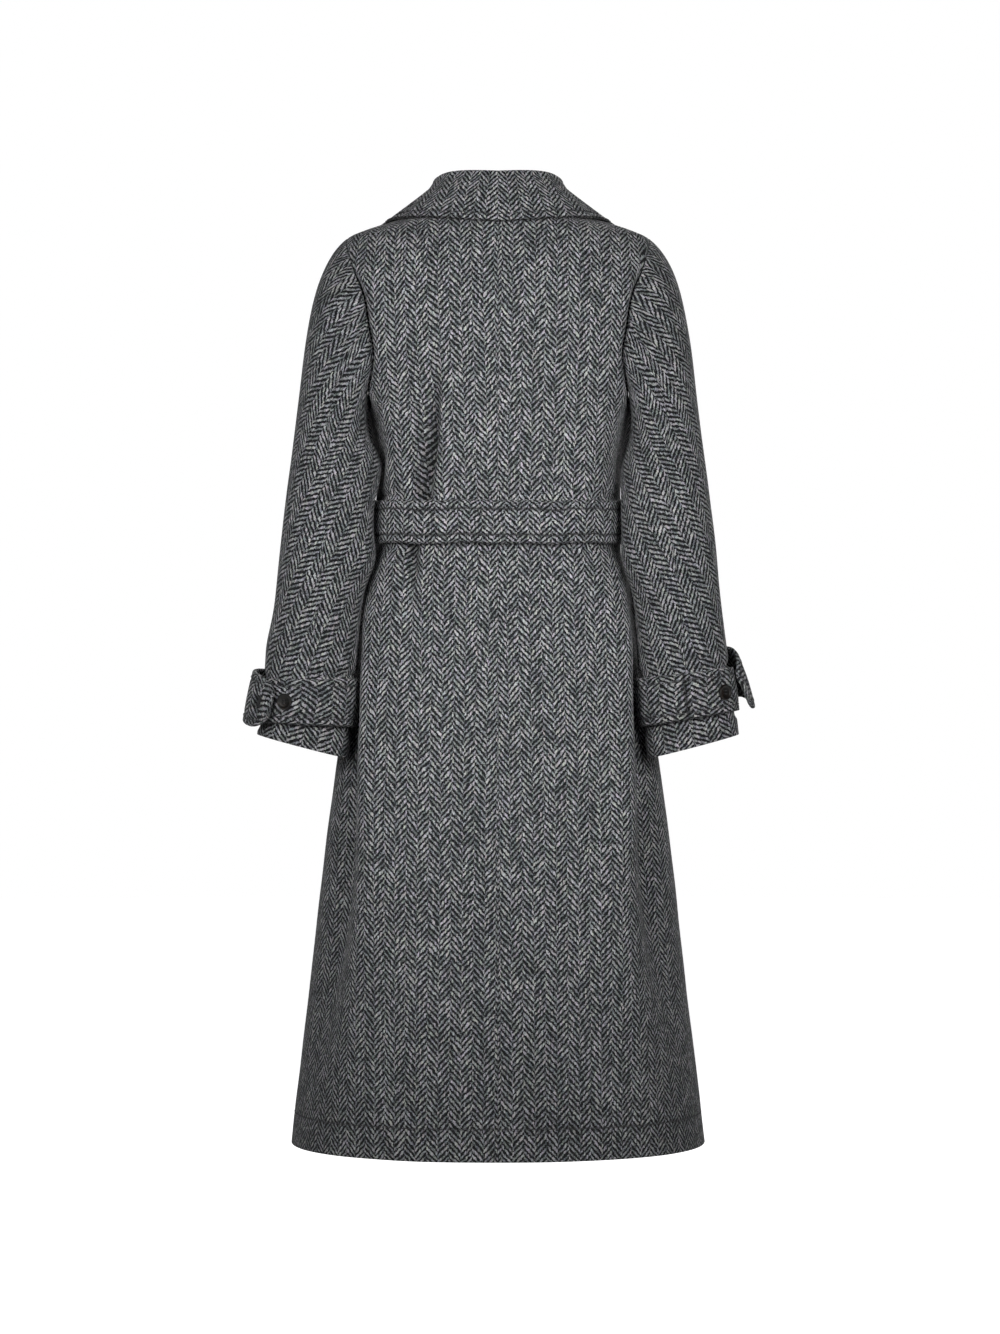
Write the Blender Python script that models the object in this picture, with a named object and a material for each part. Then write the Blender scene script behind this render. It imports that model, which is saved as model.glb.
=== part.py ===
"""Long belted wool coat in its worn form, empty inside, as separate cut-and-sewn walls of cloth.

Metres, +Z up. The coat faces -Y, the wearer's left is +X, and the origin is the point midway
between the shoulders where the wearer carries it.

Every piece is worked out on one half of the coat, as if it were the left one, and mirrored for
the right. Angles go round the body: 0 at the side seam, 90 at the centre back, -90 at the centre front.
"""
import math
from collections import namedtuple

import bmesh
import bpy
import numpy as np

# Cloth and seams
WALL = 0.0025
COLLAR_WALL = 0.003
BAND_WALL = 0.005
BELT_WALL = 0.005
SEAM = 0.0003
REST_GAP = 0.0006
SHARP_ANGLE = math.radians(40)
ARC_SAMPLES = 160

# Heights on the body
NECK = 0.027
SHOULDER_TIP = -0.020
UNDERARM = -0.225
WAIST = -0.363
BELT_MIDDLE = -0.3595
BELT_WIDTH = 0.051
BELT_DIP = 0.0045
HEM = -1.107

# Armhole: widest angle from the side line, and how much its lower half is scooped forward
ARMHOLE_BACK = math.radians(43)
ARMHOLE_FRONT = math.radians(33)
ARMHOLE_SCOOP = 0.12

# Wrap of the fronts: the right one lies over the left one
WRAP_LIFT = WALL + 0.0026
WRAP_RAMP = 0.04
WRAP_MARGIN = 0.005

# Sleeves: height of the first full ring, of the cuff edge, and the two seams round the sleeve
BICEP = -0.262
CUFF = -0.628
BACK_SEAM = math.radians(90)
FRONT_SEAM = math.radians(270)
SEAM_TURN = SEAM / 2 / 0.055

# Sleeve head: the way it leaves the armhole, as a mean and a swing from the tip to the underarm,
# the pull of that way at the tip and underarm and of the ring it runs into, and its stand-off
LEAVE_MEAN = np.array([0.55, 0.20, -0.80])
LEAVE_SWING = np.array([0.25, 0.15, 0.20])
LEAVE_PULL_TIP = 0.75
LEAVE_PULL_UNDERARM = 0.5
ARRIVE_PULL = 1.2
UNDERARM_STAND_OFF = 0.0030

# Lapels: how far they lie off the front, and how far they roll up between their edges
LAPEL_GAP = 0.0014
LAPEL_ROLL = 0.003

# Collar fold and fall
FOLD_RADIUS = 0.005
FALL_CLEAR = 0.0015
ROLL_CLEAR = 0.0013
CLEAR_RAMP = 0.08
STAND_LEAN = 0.002
NECK_ROUND = 0.9
NECK_CENTRE_Y = -0.004
FOLD_SWINGS = np.radians([135, 90, 45])
FALL_PARTS = (0.0, 0.35, 0.7, 1.0)

# Cuff bands, tabs and buttons
CUFF_BAND_MIDDLE = -0.577
CUFF_BAND_WIDTH = 0.054
TAB_WIDTH = 0.064
CUFF_STEPS = 20
BAND_FROM_SEAM = 0.02
BAND_RISES_FROM = math.radians(190)
TAB_CLEAR = 0.0014
TAB_STEPS = 15
TAB_DROPS_FROM = 0.5
TAB_ROUND_FROM = 0.76
TAB_ROUND_CUT = 0.8
TAB_ROUND_POWER = 2.5
TAB_LIFTED_BY = 0.85
TAB_CLEARS_BAND_BY = 0.4
BUTTON_RADIUS = 0.0095
BUTTON_THICKNESS = 0.0042
BUTTON_GAP = 0.0002
ButtonRing = namedtuple("ButtonRing", "radius rise")
BUTTON_RINGS = (
    ButtonRing(0.78, 0.00),
    ButtonRing(0.96, 0.30),
    ButtonRing(1.00, 0.62),
    ButtonRing(0.94, 0.92),
    ButtonRing(0.82, 1.00),
    ButtonRing(0.70, 0.86),
    ButtonRing(0.40, 0.62),
)
SPOKES = 20

# Belt knot and tails
KNOT_WIDTH = 0.050
KNOT_HEIGHT = 0.064
KNOT_DEPTH = 0.022
KNOT_LAYERS = 5
KNOT_POWER = 0.6
KNOT_PINCH = 0.12
BELT_STEPS = 45
BELT_END_ANGLE = 0.0015
BELT_MARGIN = 0.01
TAIL_WIDTH = 0.050
TAIL_APART = 0.002
TAIL_SPREAD = 0.022
TAIL_STEPS = 10
TAIL_PINCH = 0.56
TAIL_PINCH_SHARE = 0.3
TAIL_LENGTH = {"left": 0.315, "right": 0.345}

BodyRow = namedtuple("BodyRow", "height half_width side_y back_y front_y squareness")
BODY = (
    BodyRow(-1.107, 0.2500, -0.040, 0.167, -0.200, 2.2),
    BodyRow(-1.009, 0.2386, -0.042, 0.162, -0.190, 2.4),
    BodyRow(-0.888, 0.2241, -0.046, 0.155, -0.176, 2.8),
    BodyRow(-0.767, 0.2104, -0.052, 0.146, -0.160, 3.4),
    BodyRow(-0.646, 0.1950, -0.056, 0.136, -0.146, 4.0),
    BodyRow(-0.500, 0.1740, -0.050, 0.121, -0.126, 4.0),
    BodyRow(-0.420, 0.1570, -0.038, 0.110, -0.114, 3.3),
    BodyRow(-0.396, 0.1480, -0.033, 0.104, -0.109, 3.2),
    BodyRow(-0.330, 0.1480, -0.032, 0.104, -0.109, 3.2),
    BodyRow(-0.300, 0.1480, -0.022, 0.109, -0.114, 3.2),
    BodyRow(-0.225, 0.1580, -0.004, 0.114, -0.121, 3.4),
    BodyRow(-0.170, 0.1740, 0.000, 0.117, -0.117, 2.9),
    BodyRow(-0.120, 0.1940, 0.000, 0.116, -0.108, 2.7),
    BodyRow(-0.070, 0.2030, 0.000, 0.110, -0.092, 2.35),
    BodyRow(-0.040, 0.1960, 0.000, 0.103, -0.079, 2.1),
    BodyRow(-0.020, 0.1800, 0.000, 0.095, -0.068, 2.0),
    BodyRow(-0.010, 0.1565, 0.000, 0.0905, -0.062, 2.0),
    BodyRow(0.000, 0.1240, 0.000, 0.085, -0.055, 2.0),
    BodyRow(0.012, 0.0980, 0.000, 0.077, -0.044, 2.0),
    BodyRow(0.027, 0.0700, 0.000, 0.066, -0.030, 2.0),
)

# Edge where the flat back of the skirt turns to the side, in degrees round the body at each height
FoldEdge = namedtuple("FoldEdge", "height left right")
FOLD_EDGE = (
    FoldEdge(-1.107, 40.0, 46.0),
    FoldEdge(-1.000, 43.4, 48.7),
    FoldEdge(-0.900, 46.0, 51.4),
    FoldEdge(-0.800, 47.1, 52.9),
    FoldEdge(-0.700, 45.6, 50.4),
    FoldEdge(-0.600, 39.6, 45.0),
    FoldEdge(-0.552, 35.0, 40.0),
    FoldEdge(-0.510, 31.0, 34.8),
    FoldEdge(-0.468, 22.0, 31.4),
    FoldEdge(-0.430, 12.0, 27.0),
    FoldEdge(-0.380, 5.0, 20.0),
)

# Folds in the body cloth: angle and drift in degrees from the side, from the fold edge or from the back
# of the armhole, depth outwards in metres, and the shares of a fold's length over which it deepens at
# its top and dies away at its bottom
Fold = namedtuple("Fold", "side line angle drift top bottom half_width depth")
FOLDS = (
    Fold("left", "armhole", -3, 0, -0.050, -0.250, 4.5, -0.016),
    Fold("left", "side", 14, 0, -0.205, -0.350, 15, -0.013),
    Fold("left", "side", 70, -12, -0.150, -0.420, 7, -0.009),
    Fold("left", "edge", -17, 0, -0.390, -1.107, 13, -0.029),
    Fold("left", "edge", 6, 0, -0.390, -1.150, 8, 0.004),
    Fold("left", "side", 55, 26, -0.385, -0.620, 6, -0.008),
    Fold("left", "side", 72, 0, -0.700, -1.300, 9, 0.004),
    Fold("right", "armhole", -3, 0, -0.050, -0.250, 4.5, -0.016),
    Fold("right", "side", 14, 0, -0.205, -0.350, 15, -0.005),
    Fold("right", "side", 70, -10, -0.170, -0.400, 8, -0.004),
    Fold("right", "edge", -21, 0, -0.390, -1.107, 14, -0.029),
    Fold("right", "edge", 6, 0, -0.390, -1.150, 8, 0.004),
    Fold("right", "side", 58, 14, -0.390, -0.800, 8, -0.005),
    Fold("left", "side", -40, 0, -0.400, -1.300, 11, -0.007),
    Fold("right", "side", -44, 0, -0.400, -1.300, 11, -0.007),
    Fold("left", "side", -10, 0, -0.195, -0.335, 8, 0.0110),
    Fold("right", "side", -10, 0, -0.195, -0.335, 8, 0.0110),
    Fold("left", "side", -14, 0, -0.392, -0.560, 9, 0.006),
    Fold("right", "side", -14, 0, -0.392, -0.560, 9, 0.006),
    Fold("left", "side", -12, 0, -0.399, -0.470, 9, 0.010),
    Fold("right", "side", -12, 0, -0.399, -0.470, 9, 0.009),
)
FOLD_EASE_IN = 0.25
FOLD_EASE_OUT = 0.5

# Front edge of the left half: past the centre front it is negative; above the break it is the roll line
FrontEdge = namedtuple("FrontEdge", "height edge_x")
FRONT_EDGE = (
    FrontEdge(-1.107, -0.100),
    FrontEdge(-0.363, -0.062),
    FrontEdge(-0.270, -0.055),
    FrontEdge(0.027, 0.066),
)

# Rings of the left sleeve below the bicep; tilt is how much higher the outer side is, per metre across
SleeveRow = namedtuple("SleeveRow", "height inner_x outer_x middle_y half_depth tilt")
SLEEVE = (
    SleeveRow(-0.628, 0.1765, 0.2855, 0.056, 0.051, 0.26),
    SleeveRow(-0.570, 0.1700, 0.2790, 0.058, 0.053, 0.21),
    SleeveRow(-0.530, 0.1660, 0.2725, 0.058, 0.054, 0.17),
    SleeveRow(-0.454, 0.1610, 0.2632, 0.057, 0.057, 0.14),
    SleeveRow(-0.376, 0.1500, 0.2553, 0.058, 0.061, 0.13),
    SleeveRow(-0.334, 0.1490, 0.2503, 0.056, 0.063, 0.13),
    SleeveRow(-0.298, 0.1490, 0.2464, 0.046, 0.064, 0.12),
    SleeveRow(-0.262, 0.1560, 0.2424, 0.032, 0.064, 0.12),
)

# Soft folds of the sleeves: middle round the sleeve and up it, half sizes both ways, depth outwards
Dent = namedtuple("Dent", "side turn height half_turn half_height depth")
DENTS = (
    Dent("left", 180, -0.286, 52, 0.034, 0.012),
    Dent("right", 180, -0.305, 55, 0.045, 0.003),
    Dent("left", 154, -0.374, 30, 0.040, 0.0045),
    Dent("right", 156, -0.370, 30, 0.042, 0.0045),
    Dent("left", 176, -0.402, 40, 0.024, 0.006),
    Dent("right", 176, -0.402, 40, 0.024, 0.005),
    Dent("left", 160, -0.318, 32, 0.016, 0.002),
    Dent("left", 118, -0.390, 36, 0.032, -0.006),
    Dent("left", 84, -0.452, 42, 0.034, 0.004),
    Dent("right", 122, -0.400, 36, 0.032, -0.006),
    Dent("right", 80, -0.460, 42, 0.034, 0.004),
)

# Collar from the centre back (0) to its front end (1); angles in degrees. From the neck point on,
# the neck edge follows the roll line instead of its angle column
NECK_POINT = 0.66
CollarRow = namedtuple("CollarRow", "along neck_angle neck_height stand edge_angle edge_height bulge")
COLLAR = (
    CollarRow(0.00, 90.0, 0.0270, 0.027, 90.0, -0.0125, 0.003),
    CollarRow(0.28, 45.0, 0.0270, 0.0275, 45.0, -0.0050, 0.000),
    CollarRow(0.55, 0.0, 0.0270, 0.0265, 0.0, -0.0030, -0.008),
    CollarRow(0.66, -19.4, 0.0270, 0.025, -18.0, -0.0080, 0.000),
    CollarRow(1.00, -72.0, -0.0120, 0.009, -54.0, -0.0500, 0.003),
)

# Lapels: the height where each starts to show, the left one above the edge of the front that covers it
LAPEL_START = {"left": -0.212, "right": -0.262}
LAPEL_TOP = -0.022
LAPEL_TIP_X = 0.128
LAPEL_TIP = -0.088
LAPEL_FOOT = 0.012
LAPEL_INSET = 0.001
LAPEL_COVERED = 0.005
LAPEL_ROWS = 9
LAPEL_COLUMNS = 5

# What differs between the two cuffs; angles round the sleeve in degrees, 0 outside and 90 behind.
# The strap lies level by taking that much off the slope of the sleeve, and higher by its band rise.
# The tab starts higher by its rise and ends higher by its end rise, and its lower edge stands out by its lean
BAND_COLUMNS = "side level band_rise band_end "
TAB_COLUMNS = "tab_end tab_lift tab_rise end_rise tab_lean button_angle button_height"
CuffSide = namedtuple("CuffSide", BAND_COLUMNS + TAB_COLUMNS)
CUFFS = (
    CuffSide("left", 0.010, 0.002, 26, 56, 0.005, 0.008, -0.002, 0.003, 67, -0.579),
    CuffSide("right", 0.003, 0.009, 16, 24, 0.006, 0.030, 0.009, 0.005, 48, -0.572),
)

# Rows of the panels, hem to neck, and of the sleeves: ends of each zone and how many steps it takes
Zone = namedtuple("Zone", "low high steps")
LOWER_ZONES = (
    Zone(HEM, -0.430, 12),
    Zone(-0.430, -0.396, 2),
    Zone(-0.396, -0.330, 2),
    Zone(-0.330, -0.300, 2),
    Zone(-0.300, UNDERARM, 3),
)
SHOULDER_ZONE = Zone(SHOULDER_TIP, NECK, 4)
ARMHOLE_STEPS = 8
SLEEVE_ZONES = (Zone(0.0, 0.16, 2), Zone(0.16, 1.0, 5), Zone(1.0, 1.4, 5), Zone(1.4, 2.0, 5))
COLLAR_ZONES = (Zone(0.0, NECK_POINT, 8), Zone(NECK_POINT, 1.0, 4))
BACK_COLUMNS = 20
FRONT_COLUMNS = 10

SIDE_SIGN = {"left": 1.0, "right": -1.0}
NO_FOLDS = "neither"
NUDGE = 1e-4

# Finishes
CLOTH_COLOUR = (0.13, 0.13, 0.14)
CLOTH_ROUGHNESS = 0.9
BUTTON_COLOUR = (0.02, 0.016, 0.013)
BUTTON_ROUGHNESS = 0.35


def smooth(value):
    """Ease from 0 to 1 as value goes from 0 to 1."""
    value = np.clip(value, 0.0, 1.0)
    return value * value * (3.0 - 2.0 * value)


def unit(vectors):
    """Scale vectors to length 1."""
    return vectors / np.linalg.norm(vectors, axis=-1, keepdims=True)


def steps(zones):
    """Join the even steps of each zone into one rising list."""
    parts = [np.linspace(zone.low, zone.high, zone.steps, endpoint=False) for zone in zones]
    return np.concatenate(parts + [[zones[-1].high]])


def panel_heights():
    """Heights of a panel's rows; through the armhole they lie where the sleeve's points meet the edge."""
    middle = (SHOULDER_TIP + UNDERARM) / 2
    turns = np.linspace(math.pi, 0.0, ARMHOLE_STEPS, endpoint=False)[1:]
    armhole = middle + (SHOULDER_TIP - middle) * np.cos(turns)
    return np.concatenate([steps(LOWER_ZONES), armhole, steps((SHOULDER_ZONE,))])


def column(rows, key, name, at):
    """Read one named column of a table at any key, on a cubic that never overshoots its rows."""
    ordered = sorted(rows, key=lambda row: getattr(row, key))
    xs = np.array([getattr(row, key) for row in ordered])
    ys = np.array([getattr(row, name) for row in ordered])
    run = np.diff(xs)
    slope = np.diff(ys) / run
    same_way = slope[:-1] * slope[1:] > 0
    total = slope[:-1] + slope[1:]
    middle = np.where(same_way, 2 * slope[:-1] * slope[1:] / np.where(same_way, total, 1.0), 0.0)
    tangent = np.concatenate([slope[:1], middle, slope[-1:]])
    at = np.asarray(at, dtype=float)
    cell = np.clip(np.searchsorted(xs, at) - 1, 0, len(run) - 1)
    part = (at - xs[cell]) / run[cell]
    return hermite(ys[cell], tangent[cell] * run[cell], ys[cell + 1], tangent[cell + 1] * run[cell], part)


def hermite(start, leave, end, arrive, part):
    """Cubic from start to end with the given tangents at both ends."""
    square = part * part
    cube = square * part
    return (
        (2 * cube - 3 * square + 1) * start
        + (cube - 2 * square + part) * leave
        + (3 * square - 2 * cube) * end
        + (cube - square) * arrive
    )


def fold_depth(angle, height, side):
    """Sum of this side's folds: a bell across the angle, eased in at the top and out at the bottom."""
    depth = np.zeros(np.broadcast(angle, height).shape)
    for fold in FOLDS:
        if fold.side == side:
            part = (fold.top - height) / (fold.top - fold.bottom)
            middle = np.radians(fold.angle + fold.drift * part)
            if fold.line == "edge":
                middle = middle + np.radians(column(FOLD_EDGE, "height", side, height))
            if fold.line == "armhole":
                middle = middle + armhole_angle(height, ARMHOLE_BACK)
            across = np.exp(-(((angle - middle) / math.radians(fold.half_width)) ** 2))
            eased = smooth(part / FOLD_EASE_IN) * smooth((1.0 - part) / FOLD_EASE_OUT)
            depth = depth + fold.depth * across * eased
    return depth


def body_point(angle, height, side, moved_out=0.0):
    """Outer face of the body cloth: a squared ellipse at each height, with its folds, moved out."""
    angle, height = np.broadcast_arrays(np.asarray(angle, dtype=float), np.asarray(height, dtype=float))
    half_width = column(BODY, "height", "half_width", height)
    side_y = column(BODY, "height", "side_y", height)
    back_y = column(BODY, "height", "back_y", height)
    front_y = column(BODY, "height", "front_y", height)
    power = 2.0 / column(BODY, "height", "squareness", height)
    cosine, sine = np.cos(angle), np.sin(angle)
    depth = np.where(sine < 0, side_y - front_y, back_y - side_y)
    across = np.sign(cosine) * np.abs(cosine) ** power
    back = np.sign(sine) * np.abs(sine) ** power
    out_x = np.sign(cosine) * np.abs(cosine) ** (2 - power) / half_width
    out_y = np.sign(sine) * np.abs(sine) ** (2 - power) / depth
    reach = (fold_depth(angle, height, side) + moved_out) / np.hypot(out_x, out_y)
    return np.stack([half_width * across + reach * out_x, side_y + depth * back + reach * out_y, height], -1)


def body_normal(angle, height, side):
    """Outward normal of the body cloth, from its slopes both ways."""
    round_body = body_point(angle + NUDGE, height, side) - body_point(angle - NUDGE, height, side)
    up_body = body_point(angle, height + NUDGE, side) - body_point(angle, height - NUDGE, side)
    return unit(np.cross(round_body, up_body))


def armhole_angle(height, widest):
    """Angle of the armhole edge from the side line: nothing at the shoulder tip and the underarm."""
    middle = (SHOULDER_TIP + UNDERARM) / 2
    rise = np.clip((height - middle) / (SHOULDER_TIP - middle), -1.0, 1.0)
    return widest * np.sqrt(1.0 - rise**2) * (1.0 - ARMHOLE_SCOOP * (1.0 - rise) / 2)


def front_angle(edge_x, height):
    """Angle at which the plain front reaches the given distance from the centre front."""
    share = edge_x / column(BODY, "height", "half_width", height)
    square = column(BODY, "height", "squareness", height)
    return -np.arccos(np.sign(share) * np.abs(share) ** (square / 2))


def wrap_lift(points_x, height):
    """How far the upper front stands out to clear the under one that reaches below it."""
    under_edge = -column(FRONT_EDGE, "height", "edge_x", height)
    return WRAP_LIFT * smooth((under_edge + WRAP_RAMP + WRAP_MARGIN - points_x) / WRAP_RAMP)


def panel_angles(start, end, heights, columns, side):
    """Angles of each row's points, evenly spaced along the cloth, half a seam in from both ends."""
    rows = []
    for first, last, height in zip(start, end, heights):
        fine = np.linspace(first, last, ARC_SAMPLES)
        points = body_point(fine, height, side)
        along = np.concatenate([[0.0], np.cumsum(np.linalg.norm(np.diff(points, axis=0), axis=1))])
        stations = np.linspace(SEAM / 2, along[-1] - SEAM / 2, columns)
        rows.append(np.interp(stations, along, fine))
    return np.array(rows)


def close_wall(outer, inner):
    """Vertices and triangles of the closed wall between two grids, both split on the shorter diagonals."""
    rows, columns = outer.shape[:2]
    index = np.arange(rows * columns).reshape(rows, columns)
    shift = rows * columns
    points = outer.reshape(-1, 3)
    corners = (index[:-1, :-1], index[:-1, 1:], index[1:, 1:], index[1:, :-1])
    first, second, third, fourth = (corner.ravel() for corner in corners)
    rising = np.linalg.norm(points[first] - points[third], axis=1)
    falling = np.linalg.norm(points[second] - points[fourth], axis=1)
    last = np.where(rising <= falling, third, fourth)
    opening = np.where(rising <= falling, first, second)
    face = np.concatenate([np.stack([first, second, last], -1), np.stack([opening, third, fourth], -1)])
    rim = np.concatenate([index[0, :-1], index[:-1, -1], index[-1, :0:-1], index[:0:-1, 0]])
    after = np.roll(rim, -1)
    edge = np.concatenate([
        np.stack([after, rim, rim + shift], -1),
        np.stack([after, rim + shift, after + shift], -1),
    ])
    vertices = np.concatenate([points, inner.reshape(-1, 3)])
    return vertices, np.concatenate([face, face[:, ::-1] + shift, edge])


def cloth_material(name, colour, roughness):
    """Principled material with one colour."""
    material = bpy.data.materials.new(name)
    material.use_nodes = True
    shader = material.node_tree.nodes["Principled BSDF"]
    shader.inputs["Base Color"].default_value = (*colour, 1.0)
    shader.inputs["Roughness"].default_value = roughness
    shader.inputs["Metallic"].default_value = 0.0
    return material


def add_piece(name, side, vertices, faces, colour=CLOTH_COLOUR, roughness=CLOTH_ROUGHNESS):
    """One named object from points of the left half, mirrored for the right, with its faces outwards."""
    placed = vertices * np.array([SIDE_SIGN[side], 1.0, 1.0])
    mesh = bpy.data.meshes.new(name)
    mesh.from_pydata(placed.tolist(), [], [list(face) for face in faces])
    shape = bmesh.new()
    shape.from_mesh(mesh)
    bmesh.ops.recalc_face_normals(shape, faces=shape.faces)
    shape.to_mesh(mesh)
    shape.free()
    mesh.shade_smooth()
    mesh.set_sharp_from_angle(angle=SHARP_ANGLE)
    mesh.materials.append(cloth_material(name, colour, roughness))
    piece = bpy.data.objects.new(name, mesh)
    bpy.context.scene.collection.objects.link(piece)
    return piece


def add_panel(name, side, angles, heights, lift=None):
    """Wall of one body panel on its grid of angles and heights."""
    grid_heights = np.broadcast_to(heights[:, None], angles.shape)
    moved = np.zeros(angles.shape)
    if lift is not None:
        moved = lift(body_point(angles, grid_heights, side)[..., 0], grid_heights)
    outer = body_point(angles, grid_heights, side, moved)
    inner = outer - WALL * body_normal(angles, grid_heights, side)
    add_piece(name, side, *close_wall(outer, inner))


def build_back(side):
    """Back panel from the centre-back seam to the side seam and armhole, parted at the waist under the belt."""
    heights = panel_heights()
    upper = np.concatenate([[WAIST + SEAM / 2], heights[heights > WAIST + SEAM]])
    lower = np.concatenate([heights[heights < WAIST - SEAM], [WAIST - SEAM / 2]])
    for name, rows in (("back", upper), ("skirt_back", lower)):
        edge = armhole_angle(rows, ARMHOLE_BACK)
        middle = np.full(rows.shape, math.pi / 2)
        add_panel(f"{name}_{side}", side, panel_angles(middle, edge, rows, BACK_COLUMNS, side), rows)


def build_front(side):
    """Front panel from the side seam, armhole and shoulder seam to its wrapped edge and roll line."""
    heights = panel_heights()
    edge = -armhole_angle(heights, ARMHOLE_FRONT)
    free = front_angle(column(FRONT_EDGE, "height", "edge_x", heights), heights)
    lift = wrap_lift if side == "right" else None
    angles = panel_angles(edge, free, heights, FRONT_COLUMNS, side)
    add_panel(f"front_{side}", side, angles, heights, lift)


def dent_depth(turn, height, side):
    """Sum of this side's sleeve folds: a bell round the sleeve times a bell along it."""
    depth = np.zeros(np.broadcast(turn, height).shape)
    for dent in DENTS:
        if dent.side == side:
            swing = np.arctan2(np.sin(turn - math.radians(dent.turn)), np.cos(turn - math.radians(dent.turn)))
            around = np.exp(-((swing / math.radians(dent.half_turn)) ** 2))
            depth = depth + dent.depth * around * np.exp(-(((height - dent.height) / dent.half_height) ** 2))
    return depth


def tube_point(turn, height, side):
    """Sleeve below the bicep: a tilted ring at each height, with its folds."""
    inner_x = column(SLEEVE, "height", "inner_x", height)
    outer_x = column(SLEEVE, "height", "outer_x", height)
    middle_y = column(SLEEVE, "height", "middle_y", height)
    half_depth = column(SLEEVE, "height", "half_depth", height)
    tilt = column(SLEEVE, "height", "tilt", height)
    half_width = (outer_x - inner_x) / 2
    depth = dent_depth(turn, height, side)
    x = (outer_x + inner_x) / 2 + (half_width + depth) * np.cos(turn)
    y = middle_y + (half_depth + depth) * np.sin(turn)
    z = height + tilt * half_width * np.cos(turn)
    return np.stack(np.broadcast_arrays(x, y, z), -1)


def armhole_point(turn, side):
    """Edge of the armhole and its outward normal: 0 at the shoulder tip, 90 behind, 180 at the underarm."""
    middle = (SHOULDER_TIP + UNDERARM) / 2
    height = middle + (SHOULDER_TIP - middle) * np.cos(turn)
    back = np.sin(turn) >= 0
    angle = np.where(back, armhole_angle(height, ARMHOLE_BACK), -armhole_angle(height, ARMHOLE_FRONT))
    return body_point(angle, height, side), body_normal(angle, height, side)


def sleeve_point(turn, travel, side):
    """Sleeve surface: travel 0 to 1 from the armhole to the bicep ring, 1 to 2 on down to the cuff."""
    turn, travel = np.broadcast_arrays(np.asarray(turn, dtype=float), np.asarray(travel, dtype=float))
    edge, edge_out = armhole_point(turn, side)
    cosine, sine = np.cos(turn), np.sin(turn)
    leave = unit(LEAVE_MEAN + LEAVE_SWING * np.stack([cosine, sine, cosine], -1))
    to_underarm = (np.sin(turn / 2) ** 2)[..., None]
    start = edge + SEAM * leave + UNDERARM_STAND_OFF * to_underarm * edge_out
    ring = tube_point(turn, BICEP, side)
    arrive = unit(tube_point(turn, BICEP - NUDGE, side) - ring)
    chord = np.linalg.norm(ring - start, axis=-1, keepdims=True)
    pull = chord * (LEAVE_PULL_TIP + (LEAVE_PULL_UNDERARM - LEAVE_PULL_TIP) * to_underarm)
    part = np.clip(travel, 0.0, 1.0)[..., None]
    cap = hermite(start, pull * leave, ring, ARRIVE_PULL * chord * arrive, part)
    height = BICEP + (CUFF - BICEP) * np.clip(travel - 1.0, 0.0, None)
    return np.where(travel[..., None] < 1.0, cap, tube_point(turn, height, side))


def sleeve_normal(turn, travel, side):
    """Outward normal of the sleeve, from its slopes both ways."""
    low = np.clip(travel - NUDGE, 0.0, None)
    along = sleeve_point(turn, travel + NUDGE, side) - sleeve_point(turn, low, side)
    around = sleeve_point(turn + NUDGE, travel, side) - sleeve_point(turn - NUDGE, travel, side)
    return unit(np.cross(along, around))


def sleeve_travel(height):
    """Travel at which the sleeve's ring lies at the given height."""
    return 1.0 + (BICEP - height) / (BICEP - CUFF)


def build_sleeve(side):
    """Upper and under halves of one sleeve, between its back seam and its front seam."""
    travel = steps(SLEEVE_ZONES)[:, None]
    spans = {"upper": (FRONT_SEAM - 2 * math.pi, BACK_SEAM), "under": (BACK_SEAM, FRONT_SEAM)}
    for half, (first, last) in spans.items():
        turn = np.linspace(first, last, ARMHOLE_STEPS + 1)[None, :].copy()
        turn[0, 0] += SEAM_TURN
        turn[0, -1] -= SEAM_TURN
        outer = sleeve_point(turn, travel, side)
        grid_turn, grid_travel = np.broadcast_arrays(turn, travel)
        inner = outer - WALL * sleeve_normal(grid_turn, grid_travel, side)
        add_piece(f"sleeve_{half}_{side}", side, *close_wall(outer, inner))


def build_cuff_band(cuff):
    """Strap sewn round the sleeve end, from the front seam behind the wrist to below the tab."""
    turn = np.linspace(FRONT_SEAM - BAND_FROM_SEAM, math.radians(cuff.band_end), CUFF_STEPS)[None, :]
    half = CUFF_BAND_WIDTH / 2
    height = np.linspace(CUFF_BAND_MIDDLE + half, CUFF_BAND_MIDDLE - half, 3)[:, None]
    rising = smooth((turn - BAND_RISES_FROM) / (FRONT_SEAM - BAND_RISES_FROM))
    height = height + cuff.band_rise + (cuff.tab_rise - cuff.band_rise) * rising - cuff.level * np.cos(turn)
    turn, travel = np.broadcast_arrays(turn, sleeve_travel(height))
    base = sleeve_point(turn, travel, cuff.side)
    out = sleeve_normal(turn, travel, cuff.side)
    outer = base + (REST_GAP + BAND_WALL) * out
    add_piece(f"cuff_band_{cuff.side}", cuff.side, *close_wall(outer, base + REST_GAP * out))


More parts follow.
